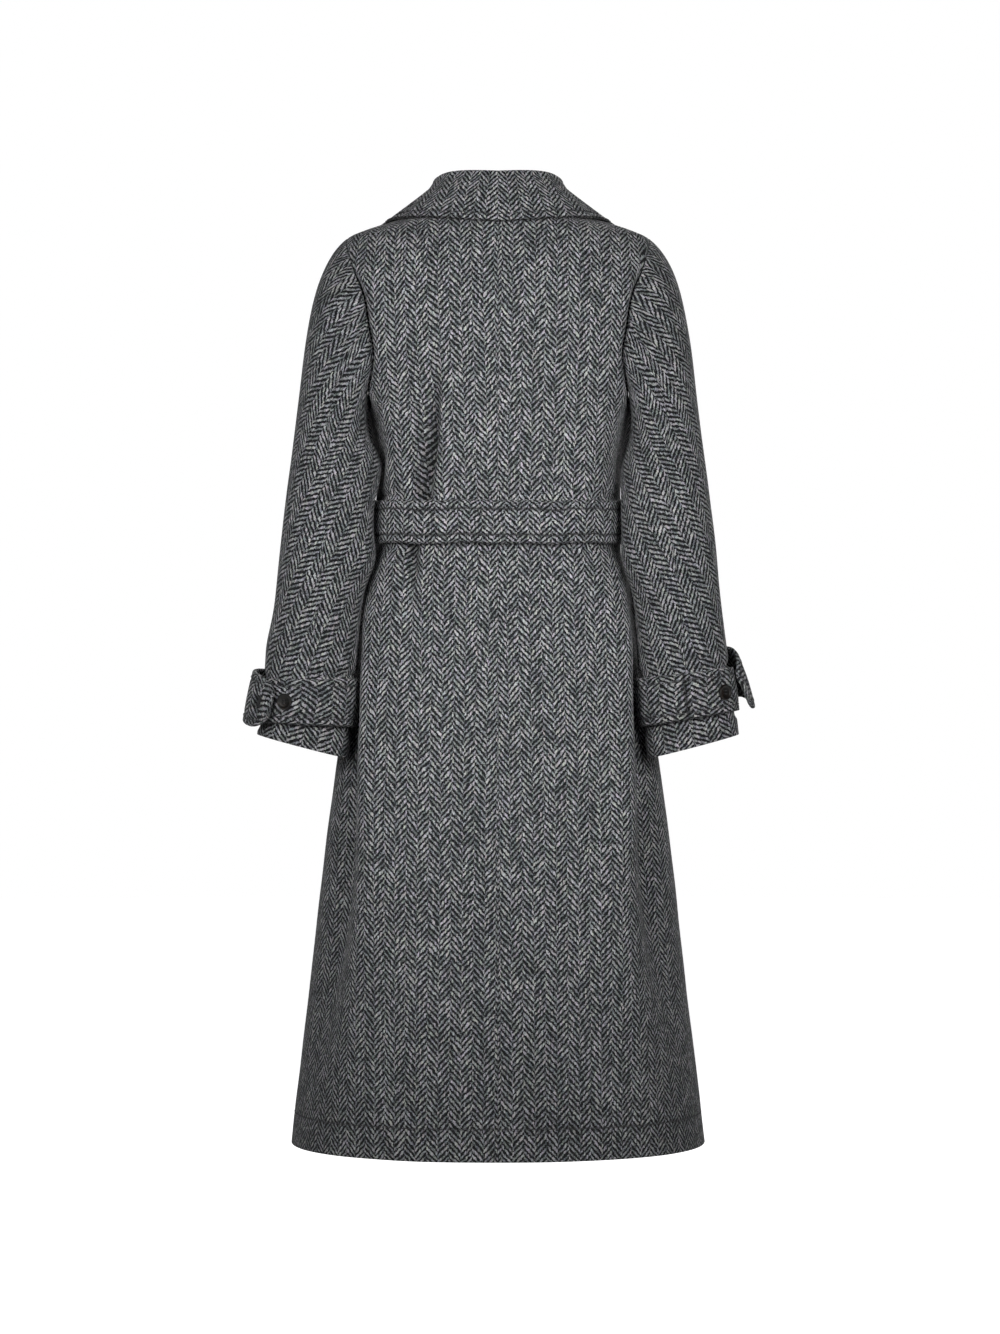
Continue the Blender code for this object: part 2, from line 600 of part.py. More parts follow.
def build_cuff_tab(cuff):
    """Loose end of the strap: round the outside of the sleeve, lifting off towards a rounded end."""
    part = np.linspace(0.0, 1.0, TAB_STEPS)[None, :]
    across = np.linspace(-1.0, 1.0, 5)[:, None]
    rounding = np.clip((part - TAB_ROUND_FROM) / (1.0 - TAB_ROUND_FROM), 0.0, 1.0)
    half = TAB_WIDTH / 2 * np.sqrt(1.0 - TAB_ROUND_CUT * rounding**TAB_ROUND_POWER)
    first = FRONT_SEAM - 2 * math.pi + BAND_FROM_SEAM
    turn = first + (math.radians(cuff.tab_end) - first) * part
    drop = smooth((part - TAB_DROPS_FROM) / (1.0 - TAB_DROPS_FROM))
    height = CUFF_BAND_MIDDLE - half * across + cuff.tab_rise + (cuff.end_rise - cuff.tab_rise) * drop
    height = height - cuff.level * np.cos(turn)
    turn, travel = np.broadcast_arrays(turn, sleeve_travel(height))
    lift = (cuff.tab_lift + cuff.tab_lean * across) * smooth(part / TAB_LIFTED_BY)
    inner_gap = REST_GAP + (BAND_WALL + TAB_CLEAR) * smooth(part / TAB_CLEARS_BAND_BY) + lift
    base = sleeve_point(turn, travel, cuff.side)
    out = sleeve_normal(turn, travel, cuff.side)
    outer = base + (inner_gap + BAND_WALL)[..., None] * out
    add_piece(f"cuff_tab_{cuff.side}", cuff.side, *close_wall(outer, base + inner_gap[..., None] * out))


def stack_faces(rings):
    """Faces of a closed body made of stacked rings of points, with a flat face at each end."""
    index = np.arange(rings.shape[0] * rings.shape[1]).reshape(rings.shape[:2])
    after = np.roll(index, -1, axis=1)
    sides = np.stack([index[:-1], after[:-1], after[1:], index[1:]], -1).reshape(-1, 4).tolist()
    return sides + [index[0][::-1].tolist(), index[-1].tolist()]


def build_button(cuff):
    """Turned disc with a raised rim and a dished face, sewn flat on the cuff band."""
    turn = np.array(math.radians(cuff.button_angle))
    travel = np.array(sleeve_travel(cuff.button_height))
    out = sleeve_normal(turn, travel, cuff.side)
    seat = sleeve_point(turn, travel, cuff.side) + (REST_GAP + BAND_WALL + BUTTON_GAP) * out
    side_way = unit(np.cross(np.array([0.0, 0.0, 1.0]), out))
    up_way = np.cross(out, side_way)
    profile = np.array(BUTTON_RINGS)
    spokes = np.linspace(0.0, 2 * math.pi, SPOKES, endpoint=False)
    radius = BUTTON_RADIUS * profile[:, 0, None, None]
    rise = BUTTON_THICKNESS * profile[:, 1, None, None]
    ring = np.cos(spokes)[:, None] * side_way + np.sin(spokes)[:, None] * up_way
    rings = seat + radius * ring + rise * out
    name = f"cuff_button_{cuff.side}"
    add_piece(name, cuff.side, rings.reshape(-1, 3), stack_faces(rings), BUTTON_COLOUR, BUTTON_ROUGHNESS)


def collar_half(along, side):
    """Stand, fold and fall of half the collar, from its neck seam over the fold to its free edge."""
    neck_angle = np.radians(column(COLLAR, "along", "neck_angle", along))
    neck_height = column(COLLAR, "along", "neck_height", along)
    roll_angle = front_angle(column(FRONT_EDGE, "height", "edge_x", neck_height), neck_height)
    neck_angle = np.where(along > NECK_POINT, roll_angle, neck_angle)
    stand = column(COLLAR, "along", "stand", along)[:, None]
    edge_angle = np.radians(column(COLLAR, "along", "edge_angle", along))
    edge_height = column(COLLAR, "along", "edge_height", along)
    neck = body_point(neck_angle, neck_height, side)
    out = unit(np.stack([neck[:, 0] * NECK_ROUND, neck[:, 1] - NECK_CENTRE_Y, np.zeros(len(along))], -1))
    up = np.array([0.0, 0.0, 1.0])
    clear_of_edge = body_point(neck_angle - NUDGE, neck_height, side) - neck
    past_neck = smooth(1.0 - (NECK_POINT - along) / CLEAR_RAMP)
    clear_of_edge = ROLL_CLEAR * past_neck[:, None] * unit(clear_of_edge)
    foot = neck - (COLLAR_WALL + REST_GAP) * out + REST_GAP * up + clear_of_edge
    edge_out = body_normal(edge_angle, edge_height, side)
    edge = body_point(edge_angle, edge_height, side) + (FALL_CLEAR + COLLAR_WALL) * edge_out
    shoulder = foot + (stand - FOLD_RADIUS) * up + STAND_LEAN * out
    rows = [foot, (foot + shoulder) / 2, shoulder]
    for swing in FOLD_SWINGS:
        rows.append(shoulder + FOLD_RADIUS * ((1 + math.cos(swing)) * out + math.sin(swing) * up))
    start = shoulder + 2 * FOLD_RADIUS * out
    bulge = column(COLLAR, "along", "bulge", along)[:, None] * unit(edge_out + out)
    for part in FALL_PARTS:
        rows.append(start + (edge - start) * part + math.sin(math.pi * part) * bulge)
    return np.stack(rows, axis=0)


def grid_normal(points):
    """Normals of a grid of points, by differences along and across it."""
    along = np.gradient(points, axis=1)
    across = np.gradient(points, axis=0)
    return unit(np.cross(along, across))


def build_collar():
    """Fold-over collar in one piece, right front end to left front end."""
    along = steps(COLLAR_ZONES)
    left = collar_half(along, "left")
    right = collar_half(along, "right") * np.array([-1.0, 1.0, 1.0])
    visible = np.concatenate([left[:, ::-1], right[:, 1:]], axis=1)
    hidden = visible + COLLAR_WALL * grid_normal(visible)
    add_piece("collar", "left", *close_wall(visible, hidden))


def lapel_edge_x(height):
    """Distance of the lapel's outer edge from the centre front, bowed from its foot to its tip."""
    start = LAPEL_START["right"]
    foot_x = column(FRONT_EDGE, "height", "edge_x", start) + LAPEL_FOOT
    return foot_x + (LAPEL_TIP_X - foot_x) * np.sqrt((height - start) / (LAPEL_TIP - start))


def build_lapel(side):
    """Turned-back edge of one front: from the roll line to the outer edge, lying on the front."""
    part = np.linspace(0.0, 1.0, LAPEL_ROWS)[:, None]
    across = np.linspace(0.0, 1.0, LAPEL_COLUMNS)[None, :]
    start = LAPEL_START[side]
    roll_height = start + (LAPEL_TOP - start) * part
    roll_x = column(FRONT_EDGE, "height", "edge_x", roll_height) + LAPEL_INSET
    if side == "left":
        roll_x = np.maximum(roll_x, LAPEL_COVERED - roll_x)
    outer_height = start + (LAPEL_TIP - start) * part
    x = roll_x + (lapel_edge_x(outer_height) - roll_x) * across
    height = roll_height + (outer_height - roll_height) * across
    angle = front_angle(x, height)
    lift = wrap_lift(x, height) if side == "right" else 0.0
    gap = LAPEL_GAP + lift + LAPEL_ROLL * np.sin(math.pi * across)
    base = body_point(angle, height, side, gap)
    out = body_normal(angle, height, side)
    add_piece(f"lapel_{side}", side, *close_wall(base + WALL * out, base))


def belt_lift(x):
    """How far the belt stands out where the fronts overlap."""
    overlap = -column(FRONT_EDGE, "height", "edge_x", BELT_MIDDLE)
    return WRAP_LIFT * smooth((overlap + WRAP_RAMP + BELT_MARGIN - np.abs(x)) / WRAP_RAMP)


def build_belt():
    """Band round the waist, open by a seam at the centre front, a little lower at the back."""
    first = BELT_END_ANGLE - math.pi / 2
    angle = np.linspace(first, math.pi - first, BELT_STEPS)[None, :]
    rise = np.linspace(BELT_WIDTH / 2, -BELT_WIDTH / 2, 3)[:, None]
    angle, height = np.broadcast_arrays(angle, BELT_MIDDLE + rise - BELT_DIP * np.sin(angle))
    plain = body_point(angle, height, NO_FOLDS)
    lift = np.where(plain[..., 1] < column(BODY, "height", "side_y", height), belt_lift(plain[..., 0]), 0.0)
    inner = body_point(angle, height, NO_FOLDS, REST_GAP + lift)
    outer = body_point(angle, height, NO_FOLDS, REST_GAP + lift + BELT_WALL)
    add_piece("belt", "left", *close_wall(outer, inner))


def belt_front():
    """Distance of the belt's outer face from the middle of the coat at the centre front."""
    height = BELT_MIDDLE + BELT_DIP
    return -body_point(-math.pi / 2, height, NO_FOLDS, REST_GAP + WRAP_LIFT + BELT_WALL)[1]


def build_knot():
    """Half knot at the centre front: a rounded block with a flat back against the belt."""
    turn = np.linspace(0.0, 2 * math.pi, SPOKES, endpoint=False)[None, :]
    lean = np.linspace(0.0, math.pi / 2, KNOT_LAYERS, endpoint=False)[:, None]
    ring_x = np.sign(np.cos(turn)) * np.abs(np.cos(turn)) ** KNOT_POWER
    ring_z = np.sign(np.sin(turn)) * np.abs(np.sin(turn)) ** KNOT_POWER
    shrink = np.cos(lean) ** KNOT_POWER
    waist = 1.0 - KNOT_PINCH * (1.0 - np.abs(ring_z))
    x = KNOT_WIDTH / 2 * ring_x * shrink * waist
    z = BELT_MIDDLE + BELT_DIP + KNOT_HEIGHT / 2 * ring_z * shrink
    y = -belt_front() - REST_GAP - KNOT_DEPTH * np.sin(lean) ** KNOT_POWER
    rings = np.stack(np.broadcast_arrays(x, y, z), -1)
    add_piece("belt_knot", "left", rings.reshape(-1, 3), stack_faces(rings))


def build_tail(side):
    """Free end of the belt, hanging from the knot on the front of the skirt."""
    part = np.linspace(0.0, 1.0, TAIL_STEPS)[:, None]
    across = np.linspace(-1.0, 1.0, 3)[None, :]
    top = BELT_MIDDLE + BELT_DIP - KNOT_HEIGHT / 2 - REST_GAP
    height = top - TAIL_LENGTH[side] * part
    half = TAIL_WIDTH / 2 * (1.0 - TAIL_PINCH * (1.0 - smooth(part / TAIL_PINCH_SHARE)))
    x = TAIL_APART + half + TAIL_SPREAD * smooth(part) + half * across
    height, x = np.broadcast_arrays(height, x)
    angle = front_angle(x, height)
    base = body_point(angle, height, side, REST_GAP + WRAP_LIFT)
    out = body_normal(angle, height, side)
    add_piece(f"belt_tail_{side}", side, *close_wall(base + BAND_WALL * out, base))


def build_coat():
    """Clear the scene and add every piece of the coat."""
    for old in list(bpy.data.objects):
        bpy.data.objects.remove(old, do_unlink=True)
    for side in SIDE_SIGN:
        build_back(side)
        build_front(side)
        build_lapel(side)
        build_tail(side)
        build_sleeve(side)
    for cuff in CUFFS:
        build_cuff_band(cuff)
        build_cuff_tab(cuff)
        build_button(cuff)
    build_collar()
    build_belt()
    build_knot()


build_coat()
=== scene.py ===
"""Long belted herringbone coat in its worn form, seen from behind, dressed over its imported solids.

Metres, +Z up. The coat faces -Y and the wearer's left is +X. Each piece is worked out on the left
half of the coat, mirrored for the right half, and stands where the solid that it replaces stands.
"""
import logging
import math
from dataclasses import dataclass, field
from enum import Enum
from typing import Any

import bpy
import numpy as np
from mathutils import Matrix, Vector


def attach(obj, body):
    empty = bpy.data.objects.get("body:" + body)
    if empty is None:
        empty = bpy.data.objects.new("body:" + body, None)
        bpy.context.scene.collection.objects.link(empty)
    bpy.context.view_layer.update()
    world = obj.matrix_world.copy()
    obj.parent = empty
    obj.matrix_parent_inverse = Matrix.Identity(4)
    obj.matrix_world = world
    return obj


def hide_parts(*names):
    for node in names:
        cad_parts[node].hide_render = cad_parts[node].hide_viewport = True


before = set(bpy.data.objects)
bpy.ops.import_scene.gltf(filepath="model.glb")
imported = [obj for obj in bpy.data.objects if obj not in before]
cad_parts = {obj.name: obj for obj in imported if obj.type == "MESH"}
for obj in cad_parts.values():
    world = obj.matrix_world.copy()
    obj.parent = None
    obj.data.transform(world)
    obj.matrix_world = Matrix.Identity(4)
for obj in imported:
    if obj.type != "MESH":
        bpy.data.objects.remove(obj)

Array = np.ndarray
Names = tuple[str, ...]
Pair = tuple[float, float]
Point = tuple[float, float, float]
Colour = tuple[float, float, float, float]
LOG = logging.getLogger("coat")
NUDGE = 1e-4
SEAM = 0.0003
REST_GAP = 0.0006
MARK_REACH = 0.0024
UP = np.array([0.0, 0.0, 1.0])


class Side(Enum):
    """Half of the coat, with the sign of its x."""

    LEFT = 1.0
    RIGHT = -1.0

    @property
    def label(self) -> str:
        """Name of this half as the nodes spell it."""
        return self.name.lower()


class Held(Enum):
    """How a sheet of cloth is held."""

    HUNG = "hung"
    FOLDED = "folded"
    STRETCHED = "stretched"


class Line(Enum):
    """Line of the body that a fold keeps to."""

    SIDE = "side"
    EDGE = "edge"
    ARMHOLE = "armhole"


class Slot(Enum):
    """Names of material slots."""

    CLOTH = "coat_cloth"
    BUTTON = "button"


# Numbers along a line, and directions


def smooth(value: Array | float) -> Array:
    """Ease from 0 to 1 as the value goes from 0 to 1, held at both ends: three squares less two cubes."""
    value = np.clip(value, 0.0, 1.0)
    return value * value * (3.0 - 2.0 * value)


def unit(vectors: Array) -> Array:
    """Scale vectors along the last axis to length 1."""
    return vectors / np.maximum(np.linalg.norm(vectors, axis=-1, keepdims=True), 1e-12)


def bell(distance: Array, half_width: Array | float) -> Array:
    """Soft bump: e to the minus square of the distance over its half width."""
    return np.exp(-((distance / half_width) ** 2))


def signed_power(value: Array, power: Array | float) -> Array:
    """Power of the size of a number, with its sign kept."""
    return np.sign(value) * np.abs(value) ** power


def nearest(places: Array, wanted: float) -> int:
    """Index of the place that is closest to the wanted one."""
    return int(np.argmin(np.abs(places - wanted)))


def hermite(start: Array, leave: Array, end: Array, arrive: Array, part: Array) -> Array:
    """Cubic from start to end with the given tangents at both ends.

    Args:
        start: Values at part 0.
        leave: Slope at part 0.
        end: Values at part 1.
        arrive: Slope at part 1.
        part: Share of the way.

    Returns:
        Values on the cubic.
    """
    square = part * part
    cube = square * part
    rise = 3 * square - 2 * cube
    return start + rise * (end - start) + (cube - 2 * square + part) * leave + (cube - square) * arrive


def stations(
    low: float, high: float, step: float, marks: tuple[float, ...] = (), reach: float = MARK_REACH
) -> Array:
    """Even steps from low to high, with finer ones around each mark, for grooves and edges.

    Args:
        low: First station.
        high: Last station.
        step: Largest step.
        marks: Places that need a station of their own and close neighbours.
        reach: How far the close neighbours lie to both sides of a mark.

    Returns:
        Rising stations.
    """
    even = np.linspace(low, high, max(2, math.ceil((high - low) / step) + 1))
    near = np.array([mark + share * reach for mark in marks for share in (-1.0, -0.5, 0.0, 0.5, 1.0)])
    spread = 0.45 * reach
    clear = np.array([np.all(np.abs(near - at) > spread) for at in even], dtype=bool)
    clear[[0, -1]] = True
    near = near[(near > low + spread) & (near < high - spread)]
    return np.unique(np.concatenate([even[clear], near]))


def row_lengths(grid: Array) -> Array:
    """Length walked along each row of a grid of points, from its first column."""
    walked = np.cumsum(np.linalg.norm(np.diff(grid, axis=1), axis=-1), axis=1)
    return np.concatenate([np.zeros((len(grid), 1)), walked], axis=1)


def column_lengths(grid: Array) -> Array:
    """Length walked along each column of a grid of points, from its first row."""
    return row_lengths(grid.transpose(1, 0, 2)).T


def cut_of(grid: Array) -> Array:
    """Flat cut of a strip: the lengths walked along its rows and along its columns."""
    return np.stack([row_lengths(grid), column_lengths(grid)], -1)


def warp_lengths(grid: Array) -> Array:
    """Length walked up the cloth at each point, square to the rows of the grid, from its first row.

    Args:
        grid: Points, row by row.

    Returns:
        Lengths, one to a point.
    """
    run = unit(np.gradient(grid, axis=1))
    run = unit(run[:-1] + run[1:])
    step = np.diff(grid, axis=0)
    step = step - np.sum(step * run, axis=-1, keepdims=True) * run
    walked = np.cumsum(np.linalg.norm(step, axis=-1), axis=0)
    return np.concatenate([np.zeros((1, grid.shape[1])), walked])


def grid_normal(points: Array) -> Array:
    """Normals of a grid: the cross product of its slopes along the columns and along the rows."""
    return unit(np.cross(np.gradient(points, axis=1), np.gradient(points, axis=0)))


def unevenness(across: Array, along: Array, seed: float) -> Array:
    """Slight hand of the cloth: the mean of six long slanting waves of unlike length.

    Args:
        across: Metres across the cloth.
        along: Metres along the cloth.
        seed: Shifts the waves, so that no two pieces are alike.

    Returns:
        Height in shares of the largest one.
    """
    waves = ((9.1, 2.3), (5.3, -4.7), (13.7, 6.1), (3.1, 8.9), (17.9, -3.7), (7.3, 12.1))
    total = np.zeros(np.broadcast(across, along).shape)
    for count, (turns_across, turns_along) in enumerate(waves):
        turns = turns_across * across + turns_along * along
        total = total + np.sin(2 * math.pi * turns + seed * (count + 1.7))
    return total / len(waves)


@dataclass(frozen=True)
class Table:
    """Rows of sizes along a rising key, read on a cubic that never overshoots its rows."""

    names: Names
    rows: tuple[tuple[float, ...], ...]

    def read(self, name: str, at: Array | float) -> Array:
        """One column at any key: a cubic per cell, with harmonic mean slopes where neighbours agree.

        Args:
            name: Column to read.
            at: Keys.

        Returns:
            Values of that column.
        """
        values = np.array(self.rows)
        xs, ys = values[:, 0], values[:, self.names.index(name)]
        run = np.diff(xs)
        slope = np.diff(ys) / run
        agree = slope[:-1] * slope[1:] > 0
        total = np.where(agree, slope[:-1] + slope[1:], 1.0)
        middle = np.where(agree, 2 * slope[:-1] * slope[1:] / total, 0.0)
        tangent = np.concatenate([slope[:1], middle, slope[-1:]])
        at = np.asarray(at, dtype=float)
        cell = np.clip(np.searchsorted(xs, at) - 1, 0, len(run) - 1)
        part = (at - xs[cell]) / run[cell]
        leave, arrive = tangent[cell] * run[cell], tangent[cell + 1] * run[cell]
        return hermite(ys[cell], leave, ys[cell + 1], arrive, part)


@dataclass(frozen=True)
class Fold:
    """Long fold of the body cloth: degrees from its line, drift and half width in degrees, depth outwards."""

    side: Side
    line: Line
    angle: float
    drift: float
    top: float
    bottom: float
    half_width: float
    depth: float
    ease_in: float = 0.25
    ease_out: float = 0.5

    def at(self, angle: Array, height: Array, line_angle: Array | float) -> Array:
        """Depth: a bell across the angle beside its line, eased in at the top and out at the bottom.

        Args:
            angle: Angles round the body.
            height: Heights.
            line_angle: Angle of its line.

        Returns:
            How far the cloth stands out there.
        """
        part = (self.top - height) / (self.top - self.bottom)
        middle = np.radians(self.angle + self.drift * part) + line_angle
        eased = smooth(part / self.ease_in) * smooth((1.0 - part) / self.ease_out)
        return self.depth * bell(angle - middle, math.radians(self.half_width)) * eased


@dataclass(frozen=True)
class Crease:
    """Short soft crease on a line from start to end, in metres from the middle line and metres up."""

    side: Side
    start: Pair
    end: Pair
    half_width: float
    depth: float
    bow: float = 0.0
    fade_in: float = 0.4
    fade_out: float = 0.4
    steep: float = 1.0

    def at(self, x: Array, z: Array) -> Array:
        """Depth: a bell across the bowed line, steeper on its inner side, faded along it at both ends.

        Args:
            x: Distance from the middle line of the coat.
            z: Height.

        Returns:
            How far the cloth stands out there.
        """
        run_x, run_z = self.end[0] - self.start[0], self.end[1] - self.start[1]
        length = math.hypot(run_x, run_z)
        along = ((x - self.start[0]) * run_x + (z - self.start[1]) * run_z) / length**2
        off = ((x - self.start[0]) * run_z - (z - self.start[1]) * run_x) / length
        off = off - self.bow * 4 * along * (1.0 - along)
        off = np.where(off > 0, off * self.steep, off)
        faded = smooth(along / self.fade_in) * smooth((1.0 - along) / self.fade_out)
        return self.depth * bell(off, self.half_width) * faded


# Forms that the pieces lie on


@dataclass(frozen=True)
class BodyForm:
    """Outer face of the coat's body: a squared ellipse at each height, with folds and creases."""

    sections: Table = Table(
        ("height", "half_width", "side_y", "back_y", "front_y", "squareness"),
        (
            (-1.107, 0.2500, -0.040, 0.167, -0.200, 2.2),
            (-1.009, 0.2386, -0.042, 0.162, -0.190, 2.4),
            (-0.888, 0.2241, -0.046, 0.155, -0.176, 2.8),
            (-0.767, 0.2104, -0.052, 0.146, -0.160, 3.4),
            (-0.646, 0.1950, -0.056, 0.136, -0.146, 4.0),
            (-0.500, 0.1740, -0.050, 0.121, -0.126, 4.0),
            (-0.420, 0.1570, -0.038, 0.110, -0.114, 3.3),
            (-0.396, 0.1480, -0.033, 0.104, -0.109, 3.2),
            (-0.330, 0.1480, -0.032, 0.104, -0.109, 3.2),
            (-0.300, 0.1480, -0.022, 0.109, -0.114, 3.2),
            (-0.225, 0.1580, -0.004, 0.114, -0.121, 3.4),
            (-0.170, 0.1740, 0.000, 0.117, -0.117, 2.9),
            (-0.120, 0.1940, 0.000, 0.116, -0.108, 2.7),
            (-0.070, 0.2030, 0.000, 0.110, -0.092, 2.35),
            (-0.040, 0.1960, 0.000, 0.103, -0.079, 2.1),
            (-0.020, 0.1800, 0.000, 0.095, -0.068, 2.0),
            (-0.010, 0.1565, 0.000, 0.0905, -0.062, 2.0),
            (0.000, 0.1240, 0.000, 0.085, -0.055, 2.0),
            (0.012, 0.0980, 0.000, 0.077, -0.044, 2.0),
            (0.027, 0.0700, 0.000, 0.066, -0.030, 2.0),
        ),
    )
    fold_edge: Table = Table(
        ("height", "left", "right"),
        (
            (-1.107, 40.0, 46.0),
            (-1.000, 43.4, 48.7),
            (-0.900, 46.0, 51.4),
            (-0.800, 47.1, 52.9),
            (-0.700, 45.6, 50.4),
            (-0.600, 39.6, 45.0),
            (-0.552, 35.0, 40.0),
            (-0.510, 31.0, 34.8),
            (-0.468, 22.0, 31.4),
            (-0.430, 12.0, 27.0),
            (-0.380, 5.0, 20.0),
        ),
    )
    folds: tuple[Fold, ...] = (
        Fold(Side.LEFT, Line.ARMHOLE, -3, 0, -0.050, -0.250, 4.5, -0.016),
        Fold(Side.LEFT, Line.SIDE, 14, 0, -0.205, -0.350, 15, -0.013),
        Fold(Side.LEFT, Line.SIDE, 70, -12, -0.150, -0.420, 7, -0.009),
        Fold(Side.LEFT, Line.EDGE, -17, 0, -0.390, -1.107, 13, -0.029),
        Fold(Side.LEFT, Line.EDGE, 6, 0, -0.390, -1.150, 8, 0.004),
        Fold(Side.LEFT, Line.SIDE, 55, 26, -0.385, -0.620, 6, -0.008),
        Fold(Side.LEFT, Line.SIDE, 72, 0, -0.700, -1.300, 9, 0.004),
        Fold(Side.RIGHT, Line.ARMHOLE, -3, 0, -0.050, -0.250, 4.5, -0.016),
        Fold(Side.RIGHT, Line.SIDE, 14, 0, -0.205, -0.350, 15, -0.005),
        Fold(Side.RIGHT, Line.SIDE, 70, -10, -0.170, -0.400, 8, -0.004),
        Fold(Side.RIGHT, Line.EDGE, -21, 0, -0.390, -1.107, 14, -0.029),
        Fold(Side.RIGHT, Line.EDGE, 6, 0, -0.390, -1.150, 8, 0.004),
        Fold(Side.RIGHT, Line.SIDE, 58, 14, -0.390, -0.800, 8, -0.005),
        Fold(Side.LEFT, Line.SIDE, -40, 0, -0.400, -1.300, 11, -0.007),
        Fold(Side.RIGHT, Line.SIDE, -44, 0, -0.400, -1.300, 11, -0.007),
        Fold(Side.LEFT, Line.SIDE, -10, 0, -0.195, -0.335, 8, 0.0110),
        Fold(Side.RIGHT, Line.SIDE, -10, 0, -0.195, -0.335, 8, 0.0110),
        Fold(Side.LEFT, Line.SIDE, -14, 0, -0.392, -0.560, 9, 0.006),
        Fold(Side.RIGHT, Line.SIDE, -14, 0, -0.392, -0.560, 9, 0.006),
        Fold(Side.LEFT, Line.SIDE, -12, 0, -0.399, -0.470, 9, 0.010),
        Fold(Side.RIGHT, Line.SIDE, -12, 0, -0.399, -0.470, 9, 0.009),
    )
    creases: tuple[Crease, ...] = (
        Crease(Side.LEFT, (0.106, -0.374), (0.098, -0.452), 0.0070, -0.0170, 0.0, 0.05, 0.9),
        Crease(Side.LEFT, (0.074, -0.145), (0.092, -0.352), 0.0130, -0.0130, 0.007, 0.55, 0.10, 2.2),
        Crease(Side.LEFT, (0.052, -0.096), (0.104, -0.128), 0.0150, 0.0020),
        Crease(Side.LEFT, (0.002, -0.085), (0.003, -0.240), 0.0110, 0.0022, 0.0, 0.4, 0.5),
        Crease(Side.RIGHT, (0.002, -0.085), (0.003, -0.240), 0.0110, 0.0022, 0.0, 0.4, 0.5),
        Crease(Side.LEFT, (0.006, -0.392), (0.024, -0.390), 0.0030, -0.0060, 0.0, 0.3, 0.5),
        Crease(Side.LEFT, (0.056, -0.520), (0.140, -0.545), 0.0180, -0.0018, 0.004, 0.5, 0.5),
        Crease(Side.RIGHT, (0.046, -0.870), (0.058, -1.107), 0.0200, -0.0035, 0.004, 0.6, 0.1),
        Crease(Side.RIGHT, (0.110, -0.384), (0.118, -0.440), 0.0070, -0.0022, 0.0, 0.2, 0.7),
    )
    armhole_back: float = math.radians(43)
    armhole_front: float = math.radians(33)
    armhole_scoop: float = 0.12
    shoulder_tip: float = -0.020
    underarm: float = -0.225
    neck: float = 0.027
    hem: float = -1.107
    belt_middle: float = -0.3595
    belt_reach: float = 0.030
    belt_dip: float = 0.0045
    cinch: float = 0.0050
    cinch_reach: float = 0.005
    front_edge: Table = Table(
        ("height", "edge_x"),
        ((-1.107, -0.100), (-0.363, -0.062), (-0.270, -0.055), (0.027, 0.066)),
    )
    wrap_lift: float = 0.0051
    wrap_ramp: float = 0.04
    wrap_margin: float = 0.005
    uneven: float = 0.0007
    uneven_turn: float = 0.16
    back_ramp: float = 0.3
    cinch_ramp: float = 0.5
    belt_ramp: float = 0.012
    neck_ramp: float = 0.05

    def folded(self, angle: Array, height: Array, side: Side | None) -> Array:
        """Sum of one half's folds, each measured from its own line.

        Args:
            angle: Angles round the body.
            height: Heights.
            side: Half of the coat, or none for the smooth form.

        Returns:
            How far the cloth stands out there.
        """
        if side is None:
            return np.zeros(angle.shape)
        lines = {
            Line.SIDE: 0.0,
            Line.EDGE: np.radians(self.fold_edge.read(side.label, height)),
            Line.ARMHOLE: self.armhole_angle(height, self.armhole_back),
        }
        return sum(fold.at(angle, height, lines[fold.line]) for fold in self.folds if fold.side is side)

    def plain(self, angle: Array, height: Array, side: Side | None, out: Array | float = 0.0) -> Array:
        """Points of the body with its folds: half width and depth times powers of cosine and sine.

        Args:
            angle: 0 at the side, a quarter turn at the centre back, minus that at the centre front.
            height: Heights.
            side: Half whose folds are used, or none for the smooth form.
            out: Distance that the points are moved out by.

        Returns:
            Points of the left half.
        """
        angle, height = np.broadcast_arrays(np.asarray(angle, float), np.asarray(height, float))
        half_width = self.sections.read("half_width", height)
        side_y = self.sections.read("side_y", height)
        power = 2.0 / self.sections.read("squareness", height)
        cosine, sine = np.cos(angle), np.sin(angle)
        back = self.sections.read("back_y", height) - side_y
        depth = np.where(sine < 0, side_y - self.sections.read("front_y", height), back)
        out_x = signed_power(cosine, 2 - power) / half_width
        out_y = signed_power(sine, 2 - power) / depth
        reach = (self.folded(angle, height, side) + out) / np.hypot(out_x, out_y)
        x = half_width * signed_power(cosine, power) + reach * out_x
        y = side_y + depth * signed_power(sine, power) + reach * out_y
        return np.stack([x, y, height], -1)

    def normal(self, angle: Array, height: Array, side: Side) -> Array:
        """Outward normal of the folded body, from its slopes both ways.

        Args:
            angle: Angles round the body.
            height: Heights.
            side: Half of the coat.

        Returns:
            Unit normals.
        """
        around = self.plain(angle + NUDGE, height, side) - self.plain(angle - NUDGE, height, side)
        up = self.plain(angle, height + NUDGE, side) - self.plain(angle, height - NUDGE, side)
        return unit(np.cross(around, up))

    def pinched(self, angle: Array, height: Array, side: Side) -> Array:
        """Sum of one half's short creases, on the back only.

        Args:
            angle: Angles round the body.
            height: Heights.
            side: Half of the coat.

        Returns:
            How far the cloth stands out there.
        """
        plain = self.plain(angle, height, side)
        x, z = plain[..., 0], plain[..., 2]
        depth = sum(crease.at(x, z) for crease in self.creases if crease.side is side)
        return depth * smooth(np.sin(angle) / self.back_ramp)

